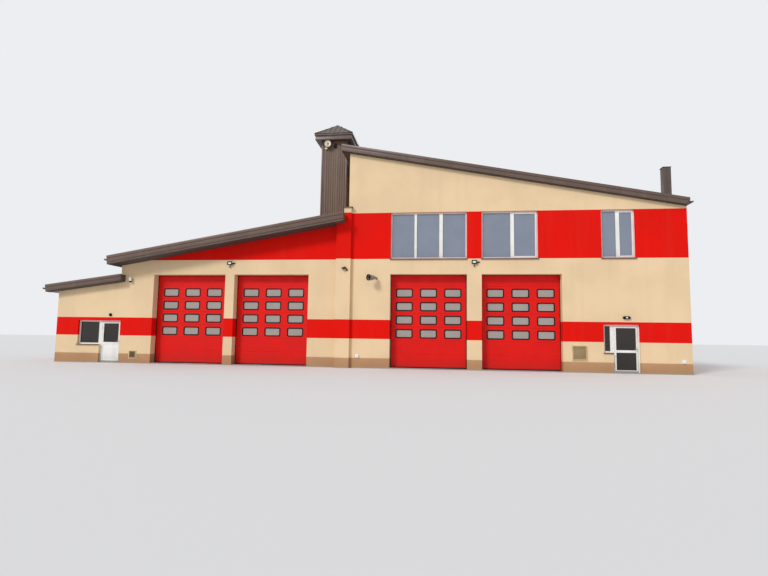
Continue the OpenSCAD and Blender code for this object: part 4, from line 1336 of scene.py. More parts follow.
@dataclass
class DoorLeaf(Assembly):
    """One hinged leaf with its panes, beads, gaskets, handles, locks and hinge caps.

    All of it rides on the leaf's body but the lower hinge caps, which stay on the frame.
    """

    name: str
    x0: float
    x1: float
    y: float
    top_z: float
    panelled: bool
    foot_z: float = 0.05
    leaf_t: float = 0.07
    stile: float = 0.066
    kick_h: float = 0.080
    rail: Span = (0.870, 0.968)
    panel_in: float = 0.014
    pane_y: Span = (0.023, 0.047)
    bead_lap: float = 0.004
    bead_w: float = 0.009
    bead_y: tuple[Span, ...] = ((-0.005, 0.021), (0.049, 0.075))
    gasket_w: float = 0.006
    gasket_y: tuple[Span, ...] = ((0.016, 0.022), (0.048, 0.054))
    hinge_rise: float = 0.22
    hinge_drop: float = 0.33
    hinge_r: float = 0.011
    hinge_out: float = 0.016
    hinge_gap: float = 0.003
    knuckle: Span = (0.0555, 0.11)
    strap_lap: float = 0.022
    cap_r: float = 0.0125
    cap_h: float = 0.014
    cap_rises: Span = (0.1095, -0.0135)
    handle_z: float = 1.02
    handle_in: float = 0.036
    handle_out: float = 0.05
    lever_r: float = 0.009
    lever_w: float = 0.112
    lock_drop: float = 0.09
    weather_bar: Box = ((0.02, -0.028, 0.012), (-0.02, 0.0, 0.052))
    weather_cut: float = 0.02

    @property
    def body(self) -> str:
        """Body of the leaf."""
        return f"{self.name}_door"

    @property
    def inner_x(self) -> Span:
        """Inner edges of the stiles."""
        return self.x0 + self.stile, self.x1 - self.stile

    @property
    def bays(self) -> list[Opening]:
        """The glazed bays between the stiles."""
        heights = [(self.rail[1], self.top_z - self.stile)]
        if not self.panelled:
            heights.append((self.foot_z + self.kick_h, self.rail[0]))
        return [Opening(self.inner_x, z, self.y) for z in heights]

    @property
    def hinges(self) -> list[Point]:
        """Foot of each hinge, on its axis."""
        x, y = self.x0 - self.hinge_gap, self.y - self.hinge_out
        return [(x, y, self.foot_z + self.hinge_rise), (x, y, self.top_z - self.hinge_drop)]

    def _leaf(self) -> None:
        """Builds the stiles, the rails and the panel, with the leaf's halves of the hinges."""
        whole = Opening((self.x0, self.x1), (self.foot_z, self.top_z), self.y)
        kick_z = self.foot_z + self.kick_h
        infills = [(*self.rail, 0.0), (self.foot_z + self.stile - LAP, kick_z, 0.0)]
        if self.panelled:
            infills.append((kick_z - LAP, self.rail[0] + LAP, self.panel_in))
        x = (self.inner_x[0] - LAP, self.inner_x[1] + LAP)
        parts = [Bench.ring(whole.box(0.0, 0.0, self.leaf_t), self.stile, SOFT)]
        for foot, head, depth in infills:
            infill = Opening(x, (foot, head), self.y).box(0.0, depth, self.leaf_t - depth)
            parts.append(Bench.block(*infill, SOFT))
        for hinge in self.hinges:
            low, high = shifted(hinge, *((0.0, 0.0, rise) for rise in self.knuckle))
            parts.append(Bench.rod(low, high, self.hinge_r, SOFT))
            parts.append(Bench.block(low, (self.x0 + self.strap_lap, self.y + LAP, high[2]), SOFT))
        self.fit(f"{self.name}_leaf_shown", parts, Look.WHITE, Slot.FRAME, self.body, f"{self.name}_leaf")

    def _caps(self) -> None:
        """Builds the dark caps of the hinges, the upper ones on the leaf and the lower ones on the frame."""
        for side, body, rise in zip(("upper", "lower"), (self.body, BUILDING), self.cap_rises):
            caps = []
            for hinge in self.hinges:
                ends = shifted(hinge, (0.0, 0.0, rise), (0.0, 0.0, rise + self.cap_h))
                caps.append(Bench.rod(*ends, self.cap_r, SOFT))
            self.fit(f"{self.name}_{side}_caps", caps, Look.BLACK, Slot.FITTING, body)

    def _glazing(self) -> None:
        """Builds the pane of each bay, with white beads and black gaskets round it on both faces."""
        lap = self.bead_lap
        panes = [Bench.block(*bay.box(-TOUCH, *self.pane_y), FINE) for bay in self.bays]
        beads = [Bench.ring(bay.box(lap, *y), self.bead_w, SOFT) for bay in self.bays for y in self.bead_y]
        gaskets = [
            Bench.ring(bay.box(-lap, *y), self.gasket_w, FINE) for bay in self.bays for y in self.gasket_y
        ]
        self.fit(f"{self.name}_panes", panes, Look.DOOR_GLASS, Slot.GLASS, self.body, f"{self.name}_leaf_glass")
        self.fit(f"{self.name}_beads", beads, Look.WHITE, Slot.FRAME, self.body)
        self.fit(f"{self.name}_gaskets", gaskets, Look.RUBBER, Slot.FITTING, self.body)

    def _handles(self) -> None:
        """Builds the lever handles with their roses, and the locks below them, on both faces."""
        x, z = self.x1 - self.handle_in, self.handle_z
        reach = self.handle_out - self.lever_r
        lock_z = z - self.lock_drop
        parts = []
        for face, out in ((self.y, -1), (self.y + self.leaf_t, 1)):
            for place_z, depth, radius, edge in (
                (z, 0.010, 0.022, SOFT),
                (z, reach, self.lever_r, FINE_ROUND),
                (lock_z, 0.008, 0.018, CRISP),
                (lock_z, 0.012, 0.008, FINE_ROUND),
            ):
                parts.append(Bench.rod((x, face, place_z), (x, face + out * depth, place_z), radius, edge))
            y = face + out * reach
            parts.append(Bench.rod((x + self.lever_r, y, z), (x - self.lever_w, y, z), self.lever_r, FULL))
        self.fit(f"{self.name}_handles", parts, Look.STEEL, Slot.FITTING, self.body)

    def _weather_bar(self) -> None:
        """Builds the sloping bar that throws rain off the foot of the leaf."""
        low, high = self.weather_bar
        corners = shifted((self.x0, self.y, self.foot_z), low) + shifted((self.x1, self.y, self.foot_z), high)
        bar = Bench.block(*corners)
        front, top = self.y + low[1], self.foot_z + high[2]
        upper_edge = Bench.ending(lambda point: point.y < front + LAP and point.z > top - LAP)
        with Bench.picked(bar, Pick.EDGE, upper_edge):
            bpy.ops.mesh.bevel(offset=self.weather_cut, segments=1, affect="EDGES")
        self.fit(f"{self.name}_weather_bar", [Bench.ease(bar, CRISP)], Look.STEEL, Slot.FITTING, self.body)

    def build(self) -> None:
        """Builds the whole leaf."""
        self._leaf()
        self._caps()
        self._glazing()
        self._handles()
        self._weather_bar()


@dataclass
class WallLamps(Assembly):
    """Floodlights with a sensor, the round light at the corner, and the lamps over both entrances."""

    floods: tuple[Point, ...] = ((5.51, FRONT_Y, 4.72), (-5.755, LOW_FRONT_Y, 4.72))
    housing: Box = ((-0.1175, -0.105, -0.0875), (0.1175, -0.05, 0.0875))
    taper: Point = (0.72, 1.0, 0.62)
    bezel: float = 0.046
    bezel_t: float = 0.012
    flood_glass: Box = ((-0.0705, -0.101, -0.0405), (0.0705, -0.092, 0.0405))
    plate: Box = ((-0.04, -0.012, -0.045), (0.04, 0.0, 0.045))
    stem: Box = ((-0.018, -0.054, -0.03), (0.018, -0.01, 0.03))
    arm: Box = ((0.10575, -0.05, -0.02), (0.24575, -0.028, 0.02))
    arm_r: Span = (0.042, 0.012)
    drop: Box = ((0.0, -0.04, -0.03), (0.0, -0.05, -0.15))
    drop_r: float = 0.009
    eye: Point = (0.0, -0.03, -0.165)
    eye_way: Point = (0.0, -1.0, -0.35)
    eye_profile: Profile = ((0.0, 0.018), (0.03, 0.03), (0.05, 0.028), (0.066, 0.014))
    round_root: Point = (-10.66, -5.49, 3.82)
    round_r: float = 0.064
    round_body: Box = ((0.0, 0.0, 0.06), (0.0, 0.0, 0.225))
    cup_profile: Profile = ((0.0, 0.55), (0.018, 0.92), (0.06, 1.04))
    bracket: Box = ((-0.03, 0.0, 0.12), (0.03, 0.10, 0.19))
    flat_root: Point = (11.83, FRONT_Y, 2.335)
    flat_body: Box = ((-0.15, -0.085, -0.0575), (0.15, 0.0, 0.0575))
    flat_corner: float = 0.05405
    flat_step: Span = (0.022, -0.004)
    flat_glass: Box = ((-0.045, -0.091, -0.026), (0.045, -0.075, 0.022))
    hood_root: Point = (-11.63, LOW_FRONT_Y, 2.27)
    hood_r: float = 0.075
    hood_profile: Profile = ((0.0, 1.0), (0.02, 1.0), (0.028, 0.93), (0.055, 0.86), (0.08, 0.62), (0.09, 0.34))

    def _flood(self) -> tuple[Piece, Piece]:
        """Builds the first floodlight.

        Returns:
            Its dark housing with arm and sensor, and its glass.
        """
        root = self.floods[0]
        housing = Bench.block(*shifted(root, *self.housing))
        back = shifted(root, (0.0, self.housing[1][1], 0.0))[0]
        with Bench.picked(housing, Pick.FACE, Bench.facing(Axis.Y, 1)):
            bpy.ops.transform.resize(value=self.taper, center_override=back)
        with Bench.picked(housing, Pick.FACE, Bench.facing(Axis.Y, -1)):
            bpy.ops.mesh.inset(thickness=self.bezel, depth=0.0)
            bpy.ops.mesh.extrude_region_move(TRANSFORM_OT_translate={"value": (0.0, self.bezel_t, 0.0)})
        parts = [
            Bench.ease(housing, FULL),
            Bench.block(*shifted(root, *self.plate), FULL),
            Bench.block(*shifted(root, *self.stem), FULL),
            Bench.rod(*shifted(root, *self.arm), self.arm_r, FULL, sides=20),
            Bench.rod(*shifted(root, *self.drop), self.drop_r, FULL, sides=12),
            Bench.turned(*shifted(root, self.eye), self.eye_way, self.eye_profile, FULL, sides=24),
        ]
        return Bench.join(parts), Bench.block(*shifted(root, *self.flood_glass), CRISP)

    def _round_light(self) -> tuple[Piece, Piece]:
        """Builds the round wall light.

        Returns:
            Its dark cup and bracket, and its pale body.
        """
        root = self.round_root
        cup = Bench.turned(root, UP, self.cup_profile, SOFT, scale=self.round_r)
        bracket = Bench.block(*shifted(root, *self.bracket), (0.006, 2))
        body = Bench.rod(*shifted(root, *self.round_body), self.round_r, (0.012, 3))
        return Bench.join([cup, bracket]), body

    def _flat_light(self) -> tuple[Piece, Piece]:
        """Builds the flat oblong lamp over the right entrance.

        Returns:
            Its body and its small glass.
        """
        body = Bench.block(*shifted(self.flat_root, *self.flat_body))
        Bench.round_corners(body, self.flat_corner, 8)
        Bench.step_face(body, Axis.Y, -1, self.flat_step)
        glass = Bench.round_corners(Bench.block(*shifted(self.flat_root, *self.flat_glass)), 0.02)
        return Bench.ease(body, (0.008, 3)), Bench.ease(glass, SOFT)

    def build(self) -> None:
        """Builds every lamp."""
        housing, glass = self._flood()
        cup, body = self._round_light()
        flat, spot = self._flat_light()
        hood = Bench.turned(self.hood_root, TO_STREET, self.hood_profile, CRISP, scale=self.hood_r, sides=40)
        shifts = [Vector(lamp) - Vector(self.floods[0]) for lamp in self.floods]
        dark = [Bench.repeat(housing, shifts), cup, flat, hood]
        pale = [Bench.repeat(glass, shifts), body, spot]
        for name, parts, look in (("lamp_housings", dark, Look.BLACK), ("lamp_lenses", pale, Look.OPAL)):
            self.fit(name, parts, look, Slot.FITTING, node="wall_lamps")


@dataclass
class AlarmGear(Assembly):
    """Wall horn, tower siren with the box beside it, camera and sockets."""

    horn_root: Point = (1.2, -5.645, 4.01)
    horn_way: Point = (-0.66, -0.75, -0.03)
    horn_r: float = 0.135
    horn_outside: Profile = ((0.0, 0.22), (0.02, 0.32), (0.08, 0.42), (0.16, 0.62), (0.24, 0.80), (0.32, 0.93))
    horn_lip: Profile = ((0.40, 1.0), (0.46, 1.02), (0.485, 1.0), (0.488, 0.95))
    horn_inside: Profile = ((0.46, 0.88), (0.38, 0.76), (0.30, 0.60), (0.22, 0.40))
    horn_strap: Box = ((-0.045, -0.03, -0.05), (-0.005, 0.145, 0.01))
    horn_plate: Box = ((-0.065, 0.137, -0.075), (0.02, 0.145, 0.045))
    # Profile of the dark plug that paints the shade in the horn's throat.
    throat: Profile = ((0.28, 0.50), (0.37, 0.74), (0.375, 0.56), (0.385, 0.18))
    edge_outside: Profile = ((0.462, 0.98), (0.468, 1.05), (0.494, 1.05), (0.499, 1.0))
    edge_inside: Profile = ((0.494, 0.82), (0.466, 0.80))
    siren_root: Point = (-1.62, -3.6, 10.98)
    siren_r: float = 0.165
    siren_outside: Profile = ((0.0, 0.55), (0.08, 0.55), (0.10, 0.90), (0.235, 1.0), (0.25, 0.99))
    siren_inside: Profile = ((0.25, 0.92), (0.225, 0.86), (0.215, 0.40))
    siren_foot: Box = ((-0.17, -0.10, -0.235), (-0.05, 0.0, -0.15))
    siren_core: Profile = ((0.21, 0.30), (0.228, 0.30), (0.24, 0.22), (0.246, 0.10))
    siren_slot: Box = ((-0.075, -0.232, -0.098), (0.06, -0.21, -0.082))
    tower_box: Box = ((0.28, -0.09, -0.16), (0.40, 0.0, 0.04))
    tower_box_step: Span = (0.012, 0.012)
    camera_root: Point = (-0.17, -5.755, 4.465)
    camera_way: Point = (-0.93, -0.18, -0.32)
    camera_body: Profile = ((0.0, 0.034), (0.012, 0.042), (0.15, 0.042), (0.156, 0.046), (0.19, 0.046))
    camera_mouth: Profile = ((0.19, 0.038), (0.178, 0.036))
    camera_lens: Profile = ((0.17, 0.03), (0.18, 0.03), (0.186, 0.014))
    hood_along: Span = (0.03, 0.215)
    hood_rise: float = 0.046
    hood_size: Span = (0.10, 0.009)
    camera_rods: tuple[tuple[Point, Point, Span | float, int], ...] = (
        ((0.01, 0.01, -0.09), (-0.03, 0.0, -0.01), (0.02, 0.024), 20),
        ((0.012, 0.083, -0.09), (0.01, 0.004, -0.09), 0.022, 20),
        ((0.012, 0.085, -0.09), (0.012, 0.071, -0.09), 0.048, 32),
    )
    sockets: tuple[Point, ...] = ((0.35, FRONT_Y, 0.54), (14.05, FRONT_Y, 0.54))
    socket_base: Box = ((-0.08, -0.042, -0.08), (0.08, 0.0, 0.08))
    socket_lid: Box = ((-0.075, -0.054, -0.075), (0.075, -0.041, 0.073))
    lid_steps: tuple[Span, ...] = ((0.010, -0.003), (0.006, 0.004))
    socket_hinge: Box = ((-0.06, -0.046, 0.077), (0.06, -0.046, 0.077))
    socket_hinge_r: float = 0.007

    def _horn(self) -> None:
        """Builds the flared wall horn with its strap, its plate and its edge, and a dark plug in its throat that
        paints the shade there.
        """
        root, way, radius = self.horn_root, self.horn_way, self.horn_r
        profile = (*self.horn_outside, *self.horn_lip, *self.horn_inside)
        parts = [Bench.turned(root, way, profile, CRISP, scale=radius)]
        parts += [Bench.block(*shifted(root, *box), CRISP) for box in (self.horn_strap, self.horn_plate)]
        self.fit("wall_horn", parts, Look.GREY, Slot.FITTING, node="horns")
        # Painted shade: the dark rubber plug darkens the throat of the horn, where shade falls.
        shade_plug = Bench.turned(root, way, self.throat, FINE, radius, 32)
        self.fit("horn_throat_shade", [shade_plug], Look.RUBBER, Slot.FITTING)
        ring = Bench.turned(root, way, (*self.edge_outside, *self.edge_inside), scale=radius)
        with Bench.picked(ring, Pick.FACE, lambda face: len(face.verts) > 4):
            bpy.ops.mesh.bridge_edge_loops()
        self.fit("horn_edge", [Bench.ease(ring, THIN)], Look.BLACK, Slot.FITTING)

    def _siren(self) -> None:
        """Builds the pale siren at the head of the tower, its foot and its grey core, and the box beside it."""
        root, radius = self.siren_root, self.siren_r
        profile = (*self.siren_outside, *self.siren_inside)
        siren = Bench.turned(root, TO_STREET, profile, SOFT, scale=radius)
        foot = Bench.block(*shifted(root, *self.siren_foot), (0.014, 3))
        self.fit("siren", [siren, foot], Look.CREAM, Slot.FITTING, node="horns")
        core = Bench.turned(root, TO_STREET, self.siren_core, CRISP, radius, 32)
        slot = Bench.block(*shifted(root, *self.siren_slot), CRISP)
        self.fit("siren_core", [core, slot], Look.GREY, Slot.FITTING)
        box = Bench.block(*shifted(root, *self.tower_box))
        Bench.step_face(box, Axis.Y, -1, self.tower_box_step)
        self.fit("tower_box", [Bench.ease(box, SOFT)], Look.BLACK, Slot.FITTING)

    def _camera(self) -> None:
        """Builds the wall camera: body, hood, elbow, arm, plate and lens."""
        root, way = self.camera_root, self.camera_way
        forward = Vector(way).normalized()
        top = forward.cross(Vector(UP).cross(forward).normalized())
        first, last = (tuple(Vector(root) + forward * along + top * self.hood_rise) for along in self.hood_along)
        parts = [
            Bench.turned(root, way, (*self.camera_body, *self.camera_mouth), CRISP, sides=32),
            Bench.bar(first, last, self.hood_size, CRISP, up=tuple(top)),
        ]
        for start, end, radii, sides in self.camera_rods:
            parts.append(Bench.rod(*shifted(root, start, end), radii, CRISP, sides=sides))
        self.fit("wall_camera", parts, Look.BROWN, Slot.FITTING, node="wall_boxes")
        lens = Bench.turned(root, way, self.camera_lens, FINE_ROUND, sides=32)
        self.fit("camera_lens", [lens], Look.BLACK, Slot.FITTING)

    def _sockets(self) -> None:
        """Builds the white outdoor sockets with their lids."""
        root = self.sockets[0]
        base = Bench.block(*shifted(root, *self.socket_base))
        lid = Bench.block(*shifted(root, *self.socket_lid))
        Bench.round_corners(base, 0.022)
        Bench.round_corners(lid, 0.020)
        Bench.step_face(lid, Axis.Y, -1, *self.lid_steps)
        hinge = Bench.rod(*shifted(root, *self.socket_hinge), self.socket_hinge_r, CRISP, sides=16)
        socket = Bench.join([Bench.ease(base, CRISP), Bench.ease(lid, CRISP), hinge])
        sockets = Bench.repeat(socket, [Vector(place) - Vector(root) for place in self.sockets])
        self.fit("wall_sockets", [sockets], Look.WHITE, Slot.FITTING, node="wall_boxes")

    def build(self) -> None:
        """Builds all these fittings."""
        self._horn()
        self._siren()
        self._camera()
        self._sockets()


@dataclass
class MonoPitchRoof(Assembly):
    """Verge boards, standing seams, soffit boards, joint covers and gutter straps of one roof.

    A roof whose packed deck ends elsewhere also gets its own deck.
    """

    name: str
    foot_x: float
    foot_z: float
    rise: float
    thickness: float
    x0: float
    x1: float
    y0: float
    y1: float
    soffits: tuple[Span, ...]
    soffit_x1: float
    cover_foot: float
    verges: tuple[tuple[float, float, int], ...]
    decks: tuple[tuple[float, float, float, float], ...] = ()
    verge_drop: float = 0.29
    verge_cut: float = 0.16
    board_out: float = 0.028
    trim_drop: float = 0.105
    trim_rise: float = 0.02
    trim_out: float = 0.054
    seam_pitch: float = 0.53
    seam_size: Span = (0.022, 0.032)
    seam_round: Ease = (0.007, 2)
    side_in: float = 0.06
    end_in: float = 0.01
    board_w: float = 0.118
    board_gap: float = 0.008
    board_t: float = 0.014
    soffit_in: float = 0.02
    cover_pitch: float = 2.9
    cover_w: float = 0.06
    board_cover_y: Span = (0.02, 0.031)
    trim_cover_y: Span = (0.04, 0.0535)
    strap_drop: float = 0.125
    strap_reach: float = 0.156
    strap_half_w: float = 0.014
    strap_half_t: float = 0.003
    hook_t: float = 0.006
    hook_z: Span = (-0.022, 0.001)
    strap_in: float = 0.3
    strap_pitch: float = 0.75

    @property
    def eave(self) -> tuple[float, int]:
        """X of the lower end, and the sign of the direction that points out of the roof there."""
        return (self.x0, -1) if self.rise > 0 else (self.x1, 1)

    def under(self, x: float) -> float:
        """Height of the underside at a station, also past the roof's foot."""
        return self.foot_z + (x - self.foot_x) * self.rise

    def top(self, x: float) -> float:
        """Height of the roof's top at a station."""
        return self.under(x) + self.thickness

    def _strip(self, x: Span, y: Span, drop: float, lift: float, edge: Ease = SHARP) -> Piece:
        """Makes a strip that follows the roof's top.

        Args:
            x: Its ends.
            y: Its two sides, in any order.
            drop: How far it reaches below the top.
            lift: How far it reaches above it.
            edge: Rounding of its edges.

        Returns:
            The strip.
        """
        z = self.top(x[0])
        low, high = (x[0], min(y), z - drop), (x[1], max(y), z + lift)
        return Bench.block(low, high, edge, self.top(x[1]) - z)

    def _decks(self) -> None:
        """Builds the roof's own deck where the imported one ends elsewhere."""
        parts = [self._strip((x0, x1), (y0, y1), self.thickness, 0.0, SOFT) for x0, x1, y0, y1 in self.decks]
        if parts:
            self.fit(f"{self.name}_roof_deck", parts, Look.ROOF, Slot.ROOF, node=f"{self.name}_roof")

    def _verge_boards(self) -> None:
        """Builds the boards along the roof's sides, cut back at their foot, and the trims above them."""
        foot, _ = self.eave
        middle = self.top(foot) - self.verge_drop / 2
        parts = []
        for far, y, side in self.verges:
            x = (min(foot, far), max(foot, far))
            board = self._strip(x, (y, y + side * self.board_out), self.verge_drop, 0.0)
            cut = (foot + math.copysign(self.verge_cut, far - foot), 0.0, 0.0)
            with Bench.picked(board, Pick.FACE, lambda face: True):
                bpy.ops.mesh.bisect(plane_co=cut, plane_no=(1.0, 0.0, 0.0))
            tip = Bench.ending(lambda point: abs(point.x - foot) < TOUCH and point.z < middle)
            with Bench.picked(board, Pick.EDGE, tip):
                bpy.ops.transform.translate(value=(0.0, 0.0, self.verge_drop - self.trim_drop))
            parts.append(Bench.ease(board, SOFT))
            parts.append(self._strip(x, (y, y + side * self.trim_out), self.trim_drop, self.trim_rise, FULL))
        self.fit(f"{self.name}_verges", parts, Look.VERGE, Slot.VERGE, node="verge_boards")

    def _seams(self) -> None:
        """Builds the standing seams that run down the roof."""
        length = self.y1 - self.y0 - 2 * self.side_in
        count = int(length / self.seam_pitch)
        stations = (self.x0 + self.end_in, self.x1 - self.end_in)
        foot, head = [(x, self.y0 + self.side_in, self.top(x) - LAP) for x in stations]
        seam = Bench.bar(foot, head, self.seam_size, self.seam_round)
        seams = Bench.repeat(seam, row(Axis.Y, length / count, count + 1))
        self.fit(f"{self.name}_roof_seams", [seams], Look.ROOF, Slot.ROOF)

    def _soffit(self) -> None:
        """Builds the boards under the overhangs."""
        parts = []
        for y0, y1 in self.soffits:
            count = max(int((y1 - y0) / (self.board_w + self.board_gap)), 1)
            pitch = (y1 - y0) / count
            y = y0 + pitch / 2
            ends = [(x, y, self.under(x) - self.board_t) for x in (self.x0 + self.soffit_in, self.soffit_x1)]
            board = Bench.bar(*ends, (pitch - self.board_gap, self.board_t + LAP), SOFT_FLAT)
            parts.append(Bench.repeat(board, row(Axis.Y, pitch, count)))
        self.fit(f"{self.name}_roof_soffit", parts, Look.SOFFIT, Slot.VERGE)

    def _joint_covers(self) -> None:
        """Builds the narrow covers over the joints of the verge boards and of their trims."""
        length = self.x1 - self.x0
        count = max(round(length / self.cover_pitch), 2)
        split = self.thickness - self.trim_drop
        layers = (
            (self.board_cover_y, self.cover_foot, split - TOUCH),
            (self.trim_cover_y, split + TOUCH, self.thickness + self.trim_rise - TOUCH),
        )
        parts = []
        for y, out in ((self.y0, -1), (self.y1, 1)):
            for step in range(1, count):
                x = self.x0 + step * length / count
                z = self.under(x)
                for (near, far), foot, head in layers:
                    y0, y1 = sorted((y + out * near, y + out * far))
                    low, high = (x - self.cover_w / 2, y0, z + foot), (x + self.cover_w / 2, y1, z + head)
                    parts.append(Bench.block(low, high, THIN, self.cover_w * self.rise))
        self.fit(f"{self.name}_verge_covers", parts, Look.VERGE, Slot.VERGE)

    def _straps(self) -> None:
        """Builds the straps that hold the gutter's front edge."""
        edge, out = self.eave
        y, z = self.y0 + self.strap_in, self.top(edge) - self.strap_drop
        half_t = self.strap_half_t
        tip = edge + out * self.strap_reach
        parts = []
        for ends, foot, head in (
            ((edge - out * 2 * LAP, tip), -half_t, half_t),
            ((tip, tip - out * self.hook_t), *self.hook_z),
        ):
            low = (min(ends), y - self.strap_half_w, z + foot)
            high = (max(ends), y + self.strap_half_w, z + head)
            parts.append(Bench.block(low, high, FINE))
        length = self.y1 - self.y0 - 2 * self.strap_in
        count = int(length / self.strap_pitch)
        straps = Bench.repeat(Bench.join(parts), row(Axis.Y, length / count, count + 1))
        self.fit(f"{self.name}_gutter_straps", [straps], Look.RAIN, Slot.RAINWATER)

    def build(self) -> None:
        """Builds everything on the roof."""
        self._decks()
        self._verge_boards()
        self._seams()
        self._soffit()
        self._joint_covers()
        self._straps()


@dataclass
class Tower(Assembly):
    """Cladding ribs, corner strips, roof ribs and fascia of the hose tower."""

    x0: float = -1.95
    y0: float = -3.6
    width: float = 1.26
    foot_z: float = 6.62
    top_z: float = 11.16
    eave_z: float = 11.48
    roof_half: float = 0.96
    rise: float = 0.80
    ribs: int = 10
    rib_w: float = 0.052
    rib_t: float = 0.020
    rib_cut: float = 0.72
    corner_w: float = 0.055
    corner_out: float = 0.004
    roof_ribs: int = 7
    rib_in: float = 0.004
    short_rib: float = 0.04
    roof_rib_size: Span = (0.05, 0.022)
    roof_rib_round: Ease = (0.007, 1)
    eave_in: float = 0.01
    eave_t: float = 0.02
    eave_strip_z: Span = (-0.03, 0.012)
    hip_size: Span = (0.10, 0.026)
    hip_z: Span = (0.004, -0.05)
    fascia_in: float = 0.05
    fascia_side: float = 0.014
    fascia_y: Span = (-0.016, 0.001)
    fascia_z: Span = (0.008, 0.12)

    @property
    def middle(self) -> Span:
        """Middle of the tower in X and Y."""
        return self.x0 + self.width / 2, self.y0 + self.width / 2

    def _all_sides(self, name: str, make: Callable[[], Piece], look: Look, slot: Slot) -> None:
        """Makes a piece for the side that faces the street, turns copies round the tower, and fits them.

        Args:
            name: Name of the joined piece.
            make: Makes the piece of the street side.
            look: Its finish.
            slot: Slot of the record that it belongs to.
        """
        x, y = self.middle
        sides = []
        for quarter in range(4):
            side = make()
            turn = Matrix.Translation((x, y, 0)) @ Matrix.Rotation(quarter * math.pi / 2, 4, "Z")
            side.data.transform(turn @ Matrix.Translation((-x, -y, 0)))
            sides.append(side)
        self.fit(name, sides, look, slot)

    def _side_ribs(self) -> Piece:
        """Builds the tapered ribs of the side that faces the street.

        Returns:
            The joined ribs.
        """
        pitch = (self.width - 2 * self.corner_w) / self.ribs
        x = self.x0 + self.corner_w + pitch / 2
        face = self.y0 - self.rib_t
        rib = Bench.block((x - self.rib_w / 2, face, self.foot_z), (x + self.rib_w / 2, self.y0 + LAP, self.top_z))
        in_front = Bench.ending(lambda point: abs(point.y - face) < TOUCH)
        with Bench.picked(rib, Pick.EDGE, lambda edge: in_front(edge) and edge.calc_length() > self.rib_w * 2):
            bpy.ops.mesh.bevel(offset=self.rib_t * self.rib_cut, segments=1, affect="EDGES")
        return Bench.repeat(Bench.ease(rib, CRISP_FLAT), row(Axis.X, pitch, self.ribs))

    def _corner(self) -> Piece:
        """Builds the folded strip over one corner.

        Returns:
            The strip.
        """
        out = self.rib_t + self.corner_out
        high = (self.x0 + self.corner_w, self.y0 + self.corner_w, self.top_z)
        return Bench.block((self.x0 - out, self.y0 - out, self.foot_z), high, (0.005, 2))

    def _roof_side(self) -> Piece:
        """Builds the ribs, the eave strip and one hip of the roof slope that faces the street.

        Returns:
            The joined parts.
        """
        x, y = self.middle
        half = self.roof_half
        parts = []
        for step in range(1, self.roof_ribs + 1):
            across = step * 2 * half / (self.roof_ribs + 1) - half
            short = max(abs(across), self.short_rib)
            start = (x + across, y - half + self.rib_in, self.eave_z + LAP)
            end = (x + across, y - short - self.rib_in, self.eave_z + (half - short) * self.rise / half)
            parts.append(Bench.bar(start, end, self.roof_rib_size, self.roof_rib_round))
        foot, head = self.eave_strip_z
        low = (x - half + self.eave_in, y - half, self.eave_z + foot)
        high = (x + half - self.eave_in, y - half + self.eave_t, self.eave_z + head)
        parts.append(Bench.block(low, high, FULL))
        corner = (x - half + self.eave_in, y - half + self.eave_in, self.eave_z + self.hip_z[0])
        apex = (x, y, self.eave_z + self.rise + self.hip_z[1])
        parts.append(Bench.bar(corner, apex, self.hip_size, (0.010, 2)))
        return Bench.join(parts)

    def _fascia(self) -> Piece:
        """Builds the lower board of the fascia on the street side.

        Returns:
            The board.
        """
        x, y = self.middle
        half = self.roof_half - self.fascia_in
        low = (x - half - self.fascia_side, y - half + self.fascia_y[0], self.top_z + self.fascia_z[0])
        high = (x + half + self.fascia_side, y - half + self.fascia_y[1], self.top_z + self.fascia_z[1])
        return Bench.block(low, high, FULL)

    def build(self) -> None:
        """Builds everything on the tower."""
        self._all_sides("tower_ribs", self._side_ribs, Look.CLADDING, Slot.CLADDING)
        self._all_sides("tower_corners", self._corner, Look.CLADDING, Slot.CLADDING)
        self._all_sides("tower_roof_ribs", self._roof_side, Look.ROOF, Slot.ROOF)
        self._all_sides("tower_fascia", self._fascia, Look.VERGE, Slot.VERGE)


@dataclass
class SheetTrim(Assembly):
    """Collar, band and seams of the flue, and the flashings where the roofs end against the walls."""

    flue_x0: float = 13.75
    flue_y0: float = -4.90
    flue_w: float = 0.32
    flue_z: Span = (7.44, 9.0)
    bands: tuple[tuple[float, float, float], ...] = ((0.0, 0.16, 0.022), (0.85, 0.03, 0.006))
    seam_in: float = 0.004
    seam_size: Span = (0.012, 0.008)
    cap: Box = ((-0.52, -5.72, 10.17), (-0.36, 5.72, 10.212))
    upstand: Box = ((-0.352, -5.47, 6.86), (-0.334, 5.47, 7.02))

    def build(self) -> None:
        """Builds the trim of the flue and the flashings."""
        x0, y0, width = self.flue_x0, self.flue_y0, self.flue_w
        foot, head = self.flue_z
        parts = []
        for rise, height, out in self.bands:
            low = (x0 - out, y0 - out, foot + rise)
            high = (x0 + width + out, y0 + width + out, foot + rise + height)
            parts.append(Bench.block(low, high, FULL))
        for x in (x0 + self.seam_in, x0 + width / 2, x0 + width - self.seam_in):
            parts.append(Bench.bar((x, y0, foot), (x, y0, head - LAP), self.seam_size, SOFT_FLAT, TO_STREET))
        self.fit("flue_bands", parts, Look.ROOF, Slot.ROOF)
        flashings = [Bench.block(*self.cap, (0.01, 2)), Bench.block(*self.upstand, FULL)]
        self.fit("roof_flashings", flashings, Look.ROOF, Slot.ROOF)


